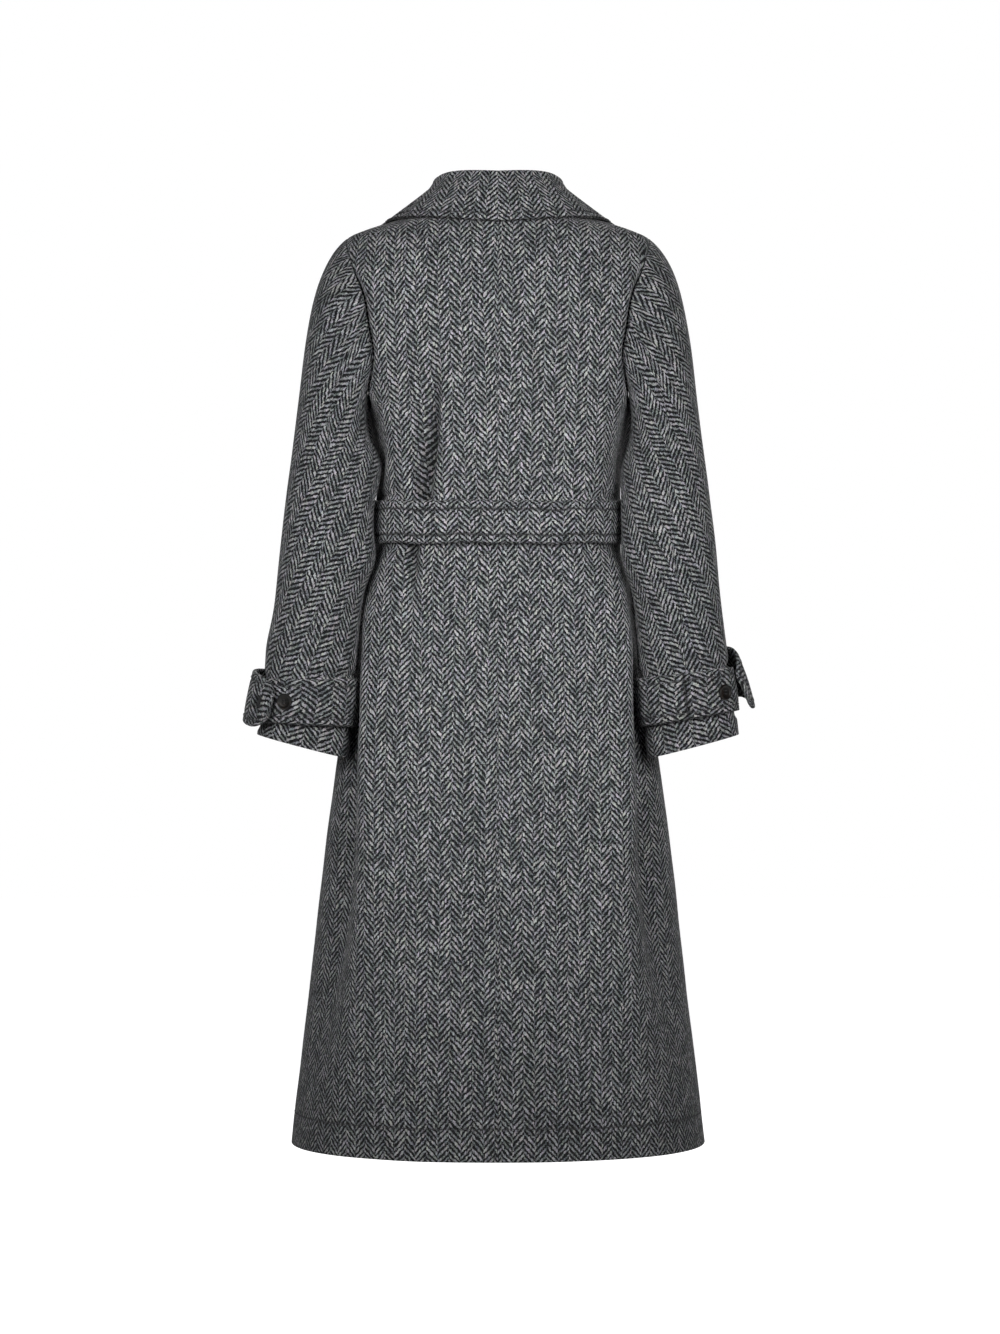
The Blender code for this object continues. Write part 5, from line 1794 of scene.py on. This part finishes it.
@dataclass
class Belt:
    """Tie belt: a stitched band round the waist, a half knot in front and two hanging tails."""

    form: BodyForm
    wardrobe: Wardrobe
    width: float = 0.051
    wall: float = 0.005
    end_angle: float = 0.0015
    margin: float = 0.01
    steps: int = 300
    row_step: float = 0.0028
    waves: tuple[Point, ...] = ((0.0008, 9.0, 0.8), (0.0005, 23.0, 0.0))
    quilting: Quilting = Quilting(0.0105, 0.0014, 0.0015, 0.0008, 0.0105)
    # Painted shadow along the band's lower edge, weaker along its upper edge.
    edge_press: float = 0.6
    edge_reach: float = 0.001
    upper_edge: float = 0.4
    edge_round: float = 0.0019
    knot: Point = (0.050, 0.064, 0.022)
    knot_power: float = 0.6
    knot_pinch: float = 0.12
    knot_spokes: int = 96
    knot_rings: int = 40
    knot_tip: float = 0.02
    knot_slant: Pair = (0.8, 0.6)
    knot_wrap: float = 0.012
    knot_creases: tuple[Point, Point] = ((0.0016, 1.25, 0.28), (0.0010, 2.4, 0.22))
    knot_fill: float = 0.8
    tail_width: float = 0.050
    tail_wall: float = 0.005
    tail_apart: float = 0.002
    tail_spread: float = 0.022
    tail_pinch: float = 0.56
    tail_pinch_share: float = 0.3
    tail_steps: int = 90
    tail_step: float = 0.12
    tail_ripple: Point = (0.0016, 9.0, 1.0)
    tail_round: float = 0.0016
    tail_length: dict[Side, float] = field(default_factory=lambda: {Side.LEFT: 0.315, Side.RIGHT: 0.345})
    weave_scale: Pair = (0.96, 1.10)

    def lift(self, x: Array) -> Array:
        """How far the belt stands out where the fronts overlap."""
        reach = -self.form.edge_x(np.array(self.form.belt_middle)) + self.form.wrap_ramp + self.margin
        return self.form.wrap_lift * smooth((reach - np.abs(x)) / self.form.wrap_ramp)

    def band(self) -> list[StitchRow]:
        """Band round the waist, open by a seam under the knot, a little lower behind.

        Returns:
            Its two rows of stitches.
        """
        first = self.end_angle - math.pi / 2
        angle = np.linspace(first, math.pi - first, self.steps)[None, :]
        mark = self.quilting.mark(self.width)
        rise = stations(-self.width / 2, self.width / 2, self.row_step, (-mark, mark))[:, None]
        wave = sum(size * np.sin(angle * turns + start) for size, turns, start in self.waves)
        height = self.form.belt_middle + rise - self.form.belt_dip * np.sin(angle) + wave
        angle, height = np.broadcast_arrays(angle, height)
        plain = self.form.plain(angle, height, None)
        before = plain[..., 1] < self.form.sections.read("side_y", height)
        lift = REST_GAP + np.where(before, self.lift(plain[..., 0]), 0.0)
        inner = self.form.plain(angle, height, None, lift)
        relief = self.quilting.relief(rise, self.width)
        outer = self.form.plain(angle, height, None, lift + self.wall + relief)
        cut = cut_of(outer)
        cut[..., 0] -= cut[:, self.steps // 2, :1].copy()
        weave = cut * np.array(self.weave_scale)
        wall = ClothWall("belt_cloth", ("belt",), Side.LEFT, outer, self.wall, cut, Held.STRETCHED, weave)
        wall.inner, wall.edge = inner, self.edge_round
        # Painted shade along the stitch rows, painted shadow along both edges, stronger below.
        edges = bell(np.abs(rise) - self.width / 2, self.edge_reach)
        edges = edges * np.where(rise < 0, 1.0, self.upper_edge)
        wall.pressed = np.maximum(self.quilting.sunk(rise, self.width), self.edge_press * edges)
        wall.build(self.wardrobe, ("back_left", "back_right", "front_left", "front_right"))
        out = grid_normal(outer)
        if np.mean(out[..., 1] * outer[..., 1]) < 0:
            out = -out
        picked = [nearest(rise[:, 0], place) for place in (-mark, mark)]
        return [StitchRow(Side.LEFT, outer[row], out[row]) for row in picked]

    def front_y(self) -> float:
        """Where the belt's outer face lies at the centre front."""
        height, out = self.form.belt_middle + self.form.belt_dip, REST_GAP + self.form.wrap_lift + self.wall
        return float(self.form.plain(-math.pi / 2, height, None, out)[1])

    def half_knot(self) -> None:
        """Knot: a squared dome over a flat back, waisted in the middle, with slanting wrap creases."""
        width, tall, deep = self.knot
        turn = np.linspace(0.0, 2 * math.pi, self.knot_spokes, endpoint=False)[None, :]
        lean = np.linspace(self.knot_tip, math.pi / 2 - self.knot_tip, self.knot_rings)
        lean = np.concatenate([[0.0], lean])[:, None]
        ring_x, ring_z = (signed_power(wave(turn), self.knot_power) for wave in (np.cos, np.sin))
        shrink = np.cos(lean) ** self.knot_power
        waist = 1.0 - self.knot_pinch * (1.0 - np.abs(ring_z))
        x = width / 2 * ring_x * shrink * waist
        z = tall / 2 * ring_z * shrink
        cosine, sine = self.knot_slant
        wrap = (x * cosine + z * sine) / self.knot_wrap
        (pair, pair_at, pair_half), (lone, lone_at, lone_half) = self.knot_creases
        crease = pair * bell(np.abs(wrap) - pair_at, pair_half) + lone * bell(wrap + lone_at, lone_half)
        depth = deep * np.sin(lean) ** self.knot_power - np.where(lean > 0, crease * np.sin(lean), 0.0)
        y = self.front_y() - REST_GAP - depth
        middle = self.form.belt_middle + self.form.belt_dip
        rings = np.stack(np.broadcast_arrays(x, y, z + middle), -1)
        flat = rings[:1] * np.array([self.knot_tip, 1.0, 1.0])
        flat[..., 2] = middle + (rings[:1, :, 2] - middle) * self.knot_tip
        rings = np.concatenate([flat, rings])
        x, y, z = rings[..., 0], rings[..., 1], rings[..., 2]
        grain = np.stack([x * cosine + z * sine, z * cosine - x * sine - y], -1).reshape(-1, 2)
        lid = lid_faces(self.knot_spokes)
        faces = stack_faces(*rings.shape[:2])
        faces = np.concatenate([faces, lid[:, ::-1], lid + (len(rings) - 1) * self.knot_spokes])
        made = add_mesh("belt_knot_cloth", rings.reshape(-1, 3), faces, grain[faces])
        self.wardrobe.dress(made, self.wardrobe.cloth, Slot.CLOTH, ("belt_knot",))

    def tail(self, side: Side) -> list[StitchRow]:
        """Free end of the belt, hanging from the knot on the front of the skirt.

        Args:
            side: Half of the coat.

        Returns:
            Its two rows of stitches.
        """
        part = np.linspace(0.0, 1.0, self.tail_steps)[:, None]
        mark = 1.0 - 2 * self.quilting.from_edge / self.tail_width
        reach = MARK_REACH / (self.tail_width / 2)
        across = stations(-1.0, 1.0, self.tail_step, (-mark, mark), reach)[None, :]
        top = self.form.belt_middle + self.form.belt_dip - self.knot[1] / 2 - REST_GAP
        height = top - self.tail_length[side] * part
        opened = smooth(part / self.tail_pinch_share)
        half = self.tail_width / 2 * (1.0 - self.tail_pinch * (1.0 - opened))
        x = self.tail_apart + half + self.tail_spread * smooth(part) + half * across
        height, x = np.broadcast_arrays(height, x)
        angle = self.form.front_angle(x, height)
        out = self.form.normal(angle, height, side)
        size, turns, start = self.tail_ripple
        ripple = size * np.sin(part * turns + start + side.value) * opened
        base = self.form.plain(angle, height, side, REST_GAP + self.form.wrap_lift + np.abs(ripple))
        relief = self.quilting.relief(across * self.tail_width / 2, self.tail_width)
        outer = base + (self.tail_wall + relief)[..., None] * out
        cut = cut_of(outer)
        node = f"belt_tail_{side.label}"
        name, weave = f"{node}_cloth", cut[..., ::-1].copy()
        wall = ClothWall(name, (node,), side, outer, self.tail_wall, cut, Held.HUNG, weave, base)
        wall.edge = self.tail_round
        # Painted shade along the tail's stitch rows.
        wall.pressed = bell((np.abs(across) - mark) * self.tail_width / 2, self.quilting.reach)
        wall.build(self.wardrobe, (f"front_{side.label}",))
        picked = [nearest(across[0], place) for place in (-mark, mark)]
        return [StitchRow(side, outer[:, column], out[:, column]) for column in picked]

    def build(self) -> None:
        """Band, knot and tails, with their stitching."""
        rows = self.band()
        self.half_knot()
        for side in Side:
            rows.extend(self.tail(side))
        sew("belt_stitching", rows, self.wardrobe)


@dataclass(frozen=True)
class CuffShape:
    """What differs between the two cuffs; angles round the sleeve in degrees."""

    side: Side
    level: float
    band_rise: float
    band_end: float
    tab_end: float
    tab_lift: float
    tab_rise: float
    end_rise: float
    tab_lean: float
    button_angle: float
    button_height: float
    groove: float | None = None


@dataclass
class Cuffs:
    """Straps sewn round the sleeve ends, with a loose buttonhole tab and a horn button each."""

    form: SleeveForm
    wardrobe: Wardrobe
    shapes: tuple[CuffShape, ...] = (
        CuffShape(Side.LEFT, 0.010, 0.002, 26, 56, 0.005, 0.008, -0.002, 0.003, 67, -0.579),
        CuffShape(Side.RIGHT, 0.003, 0.009, 16, 24, 0.006, 0.030, 0.009, 0.005, 48, -0.572, 94),
    )
    middle: float = -0.577
    width: float = 0.054
    tab_width: float = 0.064
    wall: float = 0.005
    front_seam: float = math.radians(270)
    from_seam: float = 0.02
    rises_from: float = math.radians(190)
    tab_clear: float = 0.0014
    drops_from: float = 0.5
    round_from: float = 0.76
    round_cut: float = 0.8
    round_power: float = 2.5
    lifted_by: float = 0.85
    clears_band_by: float = 0.4
    quilting: Quilting = Quilting(0.0085, 0.0007, 0.0018, 0.0006, 0.0)
    # Painted shade along stitch rows and in the buttonhole slit, painted shadow along the band's lower edge.
    stitch_press: float = 0.3
    edge_press: float = 0.85
    edge_reach: float = 0.001
    band_columns: int = 130
    band_step: float = 0.0030
    band_round: float = 0.0016
    tab_columns: int = 90
    tab_step: float = 0.09
    tab_round: float = 0.0018
    tab_margin: int = 6
    groove_margin: int = 2
    groove_depth: float = 0.0016
    groove_reach: float = 0.04
    slit_at: float = 0.88
    slit_half: float = 0.30
    slit_ramp: float = 0.1
    slit_sharp: float = 30.0
    slit_depth: float = 0.0022
    # Painted shade in the buttonhole slit.
    slit_press: float = 1.15
    purl: Point = (0.0011, 0.0002, 0.0006)
    button_radius: float = 0.0095
    button_thickness: float = 0.0042
    button_gap: float = 0.0002
    button_spokes: int = 72
    button_face: int = 13
    button_profile: tuple[Pair, ...] = (
        (0.02, 0.00), (0.40, 0.00), (0.78, 0.00), (0.90, 0.12), (0.97, 0.32), (1.00, 0.56), (0.985, 0.78),
        (0.94, 0.93), (0.88, 1.00), (0.82, 0.99), (0.77, 0.90), (0.72, 0.78), (0.66, 0.70), (0.58, 0.66),
        (0.50, 0.64), (0.44, 0.63), (0.38, 0.63), (0.33, 0.62), (0.28, 0.62), (0.23, 0.62), (0.18, 0.62),
        (0.12, 0.62), (0.06, 0.62), (0.02, 0.62),
    )
    hole_from_middle: float = 0.2
    hole_half: float = 0.085
    hole_depth: float = 0.42
    hole_sharp: float = 1.6
    thread_half: float = 0.22
    thread_arch: Pair = (0.70, 0.10)
    thread_steps: int = 12
    thread: Point = (0.0040, 0.0001, 0.00042)
    weave_scale: Pair = (0.68, 1.13)

    def band(self, shape: CuffShape) -> list[StitchRow]:
        """Strap round the sleeve end, from the front seam behind the wrist to below the tab.

        Args:
            shape: What differs on this cuff.

        Returns:
            Its two rows of stitches.
        """
        first, last = self.front_seam - self.from_seam, math.radians(shape.band_end)
        turn = np.linspace(first, last, self.band_columns)[None, :]
        mark = self.quilting.mark(self.width)
        off = stations(-self.width / 2, self.width / 2, self.band_step, (-mark, mark))[:, None]
        rising = smooth((turn - self.rises_from) / (self.front_seam - self.rises_from))
        rise = shape.band_rise + (shape.tab_rise - shape.band_rise) * rising - shape.level * np.cos(turn)
        turn, travel = np.broadcast_arrays(turn, self.form.travel(self.middle + off + rise))
        base = self.form.plain(turn, travel, shape.side)
        out = self.form.normal(turn, travel, shape.side)
        relief = np.broadcast_to(self.quilting.relief(off, self.width), turn.shape)
        # Painted shade along stitch rows, painted shadow along the lower edge.
        stitched = self.stitch_press * self.quilting.sunk(off, self.width)
        pressed = np.maximum(stitched, self.edge_press * bell(off + self.width / 2, self.edge_reach))
        # Painted shade in the groove down the band.
        if shape.groove is not None:
            groove = bell(turn - math.radians(shape.groove), self.groove_reach)
            relief, pressed = relief - self.groove_depth * groove, np.maximum(pressed, groove)
        outer = base + (REST_GAP + self.wall + relief)[..., None] * out
        wall = self.strap(f"cuff_band_{shape.side.label}", shape.side, outer, base + REST_GAP * out)
        wall.edge, wall.pressed = self.band_round, pressed
        wall.build(self.wardrobe, (f"sleeve_upper_{shape.side.label}", f"sleeve_under_{shape.side.label}"))
        picked = [nearest(off[:, 0], place) for place in (-mark, mark)]
        rows = [StitchRow(shape.side, outer[row], out[row]) for row in picked]
        if shape.groove is not None:
            column = nearest(turn[0], math.radians(shape.groove))
            sewn = slice(self.groove_margin, -self.groove_margin)
            rows.append(StitchRow(shape.side, outer[sewn, column], out[sewn, column]))
        return rows

    def strap(self, node: str, side: Side, outer: Array, inner: Array) -> ClothWall:
        """Doubled strap of cloth between two faces, with the weave of the sleeve.

        Args:
            node: Solid that it replaces.
            side: Half of the coat.
            outer: Outer face.
            inner: Inner face.

        Returns:
            The strap, ready to be built.
        """
        cut = cut_of(outer)
        weave = cut * np.array(self.weave_scale)
        wall = ClothWall(f"{node}_cloth", (node,), side, outer, self.wall, cut, Held.FOLDED, weave, inner)
        wall.on_sleeve = True
        return wall

    def tab(self, shape: CuffShape) -> list[StitchRow]:
        """Loose end of the strap: round the outside of the sleeve, lifting off towards a rounded end.

        Args:
            shape: What differs on this cuff.

        Returns:
            Its rows of stitches.
        """
        part = np.linspace(0.0, 1.0, self.tab_columns)[None, :]
        mark = 1.0 - 2 * self.quilting.from_edge / self.tab_width
        reach = MARK_REACH / (self.tab_width / 2)
        across = stations(-1.0, 1.0, self.tab_step, (-mark, mark), reach)[:, None]
        rounding = np.clip((part - self.round_from) / (1.0 - self.round_from), 0.0, 1.0)
        half = self.tab_width / 2 * np.sqrt(1.0 - self.round_cut * rounding**self.round_power)
        first = self.front_seam - 2 * math.pi + self.from_seam
        turn = first + (math.radians(shape.tab_end) - first) * part
        drop = smooth((part - self.drops_from) / (1.0 - self.drops_from))
        height = self.middle - half * across + shape.tab_rise + (shape.end_rise - shape.tab_rise) * drop
        height = height - shape.level * np.cos(turn)
        turn, travel = np.broadcast_arrays(turn, self.form.travel(height))
        lift = (shape.tab_lift + shape.tab_lean * across) * smooth(part / self.lifted_by)
        gap = REST_GAP + (self.wall + self.tab_clear) * smooth(part / self.clears_band_by) + lift
        base = self.form.plain(turn, travel, shape.side)
        out = self.form.normal(turn, travel, shape.side)
        slit = smooth((self.slit_half - np.abs(across)) / self.slit_ramp)
        slit = bell((part - self.slit_at) * self.slit_sharp, 1.0) * slit
        relief = self.quilting.relief(across * self.width / 2, self.width) - self.slit_depth * slit
        outer = base + (gap + self.wall + relief)[..., None] * out
        wall = self.strap(f"cuff_tab_{shape.side.label}", shape.side, outer, base + gap[..., None] * out)
        stitched = bell((np.abs(across) - mark) * self.tab_width / 2, self.quilting.reach)
        wall.edge = self.tab_round
        # Painted shade in the buttonhole slit and along the stitch rows.
        wall.pressed = np.maximum(self.slit_press * slit, self.stitch_press * stitched)
        wall.build(self.wardrobe, (f"cuff_band_{shape.side.label}",))
        sewn = slice(None, -self.tab_margin)
        picked = [nearest(across[:, 0], place) for place in (-mark, mark)]
        rows = [StitchRow(shape.side, outer[row, sewn], out[row, sewn]) for row in picked]
        column = nearest(part[0], self.slit_at)
        lips = np.nonzero(np.abs(across[:, 0]) < self.slit_half)[0]
        for lip in (column, column + 1):
            rows.append(StitchRow(shape.side, outer[lips, lip], out[lips, lip], *self.purl))
        return rows

    def seat(self, shape: CuffShape) -> tuple[Array, Array, Array, Array]:
        """Middle of the button on its strap, and its directions: sideways, up and out.

        Args:
            shape: What differs on this cuff.

        Returns:
            Four vectors of the left half.
        """
        turn = np.array(math.radians(shape.button_angle))
        travel = np.array(self.form.travel(shape.button_height))
        out = self.form.normal(turn, travel, shape.side)
        middle = self.form.plain(turn, travel, shape.side) + (REST_GAP + self.wall + self.button_gap) * out
        sideways = unit(np.cross(UP, out))
        return middle, sideways, np.cross(out, sideways), out

    def button(self, shape: CuffShape) -> None:
        """Turned button: a profile carried round, with a raised rim, a dished face and four pits for holes.

        Args:
            shape: What differs on this cuff.
        """
        middle, sideways, up, out = self.seat(shape)
        profile = np.array(self.button_profile)
        spokes = np.linspace(0.0, 2 * math.pi, self.button_spokes, endpoint=False)
        x, y = profile[:, :1] * np.cos(spokes), profile[:, :1] * np.sin(spokes)
        pair = (-self.hole_from_middle, self.hole_from_middle)
        holes = sum(bell(np.hypot(x - hx, y - hy), self.hole_half) ** 2 for hx in pair for hy in pair)
        face = (np.arange(len(profile)) >= self.button_face)[:, None]
        rise = profile[:, 1:] - self.hole_depth * np.clip(holes * self.hole_sharp, 0.0, 1.0) * face
        points = middle + self.button_radius * (x[..., None] * sideways + y[..., None] * up)
        points = points + self.button_thickness * rise[..., None] * out
        lid = lid_faces(self.button_spokes)
        faces = stack_faces(len(profile), self.button_spokes)
        faces = np.concatenate([faces, lid[:, ::-1], lid + (len(profile) - 1) * self.button_spokes])
        node = f"cuff_button_{shape.side.label}"
        made = add_mesh(f"{node}_horn", points.reshape(-1, 3) * mirror(shape.side), faces)
        self.wardrobe.dress(made, self.wardrobe.horn, Slot.BUTTON, (node,))
        share = np.linspace(-self.thread_half, self.thread_half, self.thread_steps)[:, None]
        low, high = self.thread_arch
        arch = low + high * np.cos(share / self.thread_half * math.pi / 2)
        rows = []
        for offset in pair:
            line = middle + self.button_radius * (share * sideways + offset * up)
            line = line + self.button_thickness * arch * out
            rows.append(StitchRow(shape.side, line, np.broadcast_to(out, line.shape), *self.thread))
        sew(f"{node}_thread", rows, self.wardrobe)

    def build(self) -> None:
        """Bands, tabs and buttons of both cuffs, with their stitching."""
        rows = []
        for shape in self.shapes:
            rows.extend(self.band(shape))
            rows.extend(self.tab(shape))
            self.button(shape)
        sew("cuff_stitching", rows, self.wardrobe)


# Studio


@dataclass
class Studio:
    """Pale floor, soft lights and a camera behind the coat, level with its middle."""

    floor_height: float = -1.36
    floor_radius: float = 9.0
    floor_rings: tuple[float, ...] = (0.01, 0.6, 2.0)
    floor_spokes: int = 64
    floor_tones: Pair = (0.84, 0.88)
    floor_clouds: Pair = (3.0, 2.0)
    floor_roughness: float = 0.9
    floor_glow: float = 1.0
    white: Colour = (1.0, 1.0, 1.0, 1.0)
    camera_at: Point = (-0.0024, 4.5, -0.534)
    lens: float = 135.0
    sensor: float = 36.0
    key_aim: Point = (0.0, 0.1, -0.35)
    key_turn: float = 30.0
    key_lift: float = 10.0
    key_away: float = 2.0
    key_size: Pair = (0.9, 0.9)
    key_spread: float = 80.0
    key_power: float = 5.5
    front_at: Point = (-0.6, -3.0, 0.8)
    front_aim: Point = (0.0, 0.0, -0.45)
    front_size: Pair = (1.6, 1.6)
    front_spread: float = 150.0
    front_power: float = 30.0
    dome: float = 0.02

    def floor(self) -> None:
        """Round pale floor: rings of points about the coat, lit to white."""
        turn = np.linspace(0.0, 2 * math.pi, self.floor_spokes, endpoint=False)
        radius = np.array([*self.floor_rings, self.floor_radius])[:, None]
        rings = np.broadcast_arrays(radius * np.cos(turn), radius * np.sin(turn), self.floor_height)
        faces = stack_faces(len(radius), self.floor_spokes)
        made = add_mesh("studio_floor", np.stack(rings, -1).reshape(-1, 3), faces)
        graph = Graph(bpy.data.materials.new("pale_floor"))
        dim, bright = ((tone, tone, tone, 1.0) for tone in self.floor_tones)
        graph.shade({
            "Base Color": graph.mix(graph.cloud(*self.floor_clouds), dim, bright),
            "Roughness": self.floor_roughness,
            "Emission Color": self.white,
            "Emission Strength": self.floor_glow,
        })
        made.data.materials.append(graph.owner)
        made.visible_diffuse = False

    def world(self) -> None:
        """White surround for the eye, with a softer even light on the coat."""
        graph = Graph(bpy.data.worlds.new("studio"))
        graph.tree.nodes.clear()
        seen = graph.value("ShaderNodeBackground", {}, {"Color": self.white})
        light = graph.value("ShaderNodeBackground", {}, {"Color": self.white, "Strength": self.dome})
        to_eye = graph.value("ShaderNodeLightPath", {}, {}, "Is Camera Ray")
        blend = graph.value("ShaderNodeMixShader", {}, {0: to_eye, 1: light, 2: seen})
        graph.node("ShaderNodeOutputWorld", {}, {"Surface": blend})
        bpy.context.scene.world = graph.owner

    def lamp(
        self, name: str, at: Point, aim: Point, size: Pair, spread: float, power: float
    ) -> None:
        """Soft light of a width and height, turned to a point.

        Args:
            name: Name of the light.
            at: Its place.
            aim: Point that it is turned to.
            size: Width and height.
            spread: Angle of its beam in degrees.
            power: Watts.
        """
        data = bpy.data.lights.new(name, "AREA")
        data.shape = "RECTANGLE"
        data.size, data.size_y = size
        data.spread = math.radians(spread)
        data.energy = power
        made = bpy.data.objects.new(name, data)
        made.location = at
        made.rotation_euler = (Vector(aim) - Vector(at)).to_track_quat("-Z", "Y").to_euler()
        made.visible_camera = False
        bpy.context.scene.collection.objects.link(made)

    def build(self) -> None:
        """Floor, surround, lights, camera and plain colours."""
        self.floor()
        self.world()
        lift = math.radians(self.key_lift)
        for side in Side:
            turn = side.value * math.radians(self.key_turn)
            way = (math.sin(turn) * math.cos(lift), math.cos(turn) * math.cos(lift), math.sin(lift))
            at = tuple(aim + self.key_away * step for aim, step in zip(self.key_aim, way))
            self.lamp(f"key_{side.label}", at, self.key_aim, self.key_size, self.key_spread, self.key_power)
        front = (self.front_at, self.front_aim, self.front_size, self.front_spread, self.front_power)
        self.lamp("front", *front)
        data = bpy.data.cameras.new("camera")
        data.lens = self.lens
        data.sensor_width = self.sensor
        data.sensor_fit = "HORIZONTAL"
        camera = bpy.data.objects.new("camera", data)
        camera.location = self.camera_at
        camera.rotation_euler = (math.pi / 2, 0.0, math.pi)
        scene = bpy.context.scene
        scene.collection.objects.link(camera)
        scene.camera = camera
        scene.view_settings.view_transform = "Standard"
        scene.view_settings.look = "None"


def main() -> None:
    """Build and dress every piece, then the studio."""
    logging.basicConfig(level=logging.INFO, format="%(name)s %(message)s")
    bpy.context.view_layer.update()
    # Painted shade: the sleeves and cuffs get a darker copy of the cloth.
    sleeve_cloth = HerringboneCloth("herringbone_wool_nap_down", 0.84)
    finishes = (HerringboneCloth(), sleeve_cloth, SewingThread(), DarkHorn())
    wardrobe = Wardrobe(*(finish.material() for finish in finishes))
    body = BodyForm()
    sleeve = SleeveForm(body)
    assemblies = (
        BodyPanels(body, wardrobe),
        Sleeves(sleeve, wardrobe),
        Collar(body, wardrobe),
        Lapels(body, wardrobe),
        Belt(body, wardrobe),
        Cuffs(sleeve, wardrobe),
        Studio(),
    )
    for assembly in assemblies:
        assembly.build()


if __name__ == "__main__":
    main()
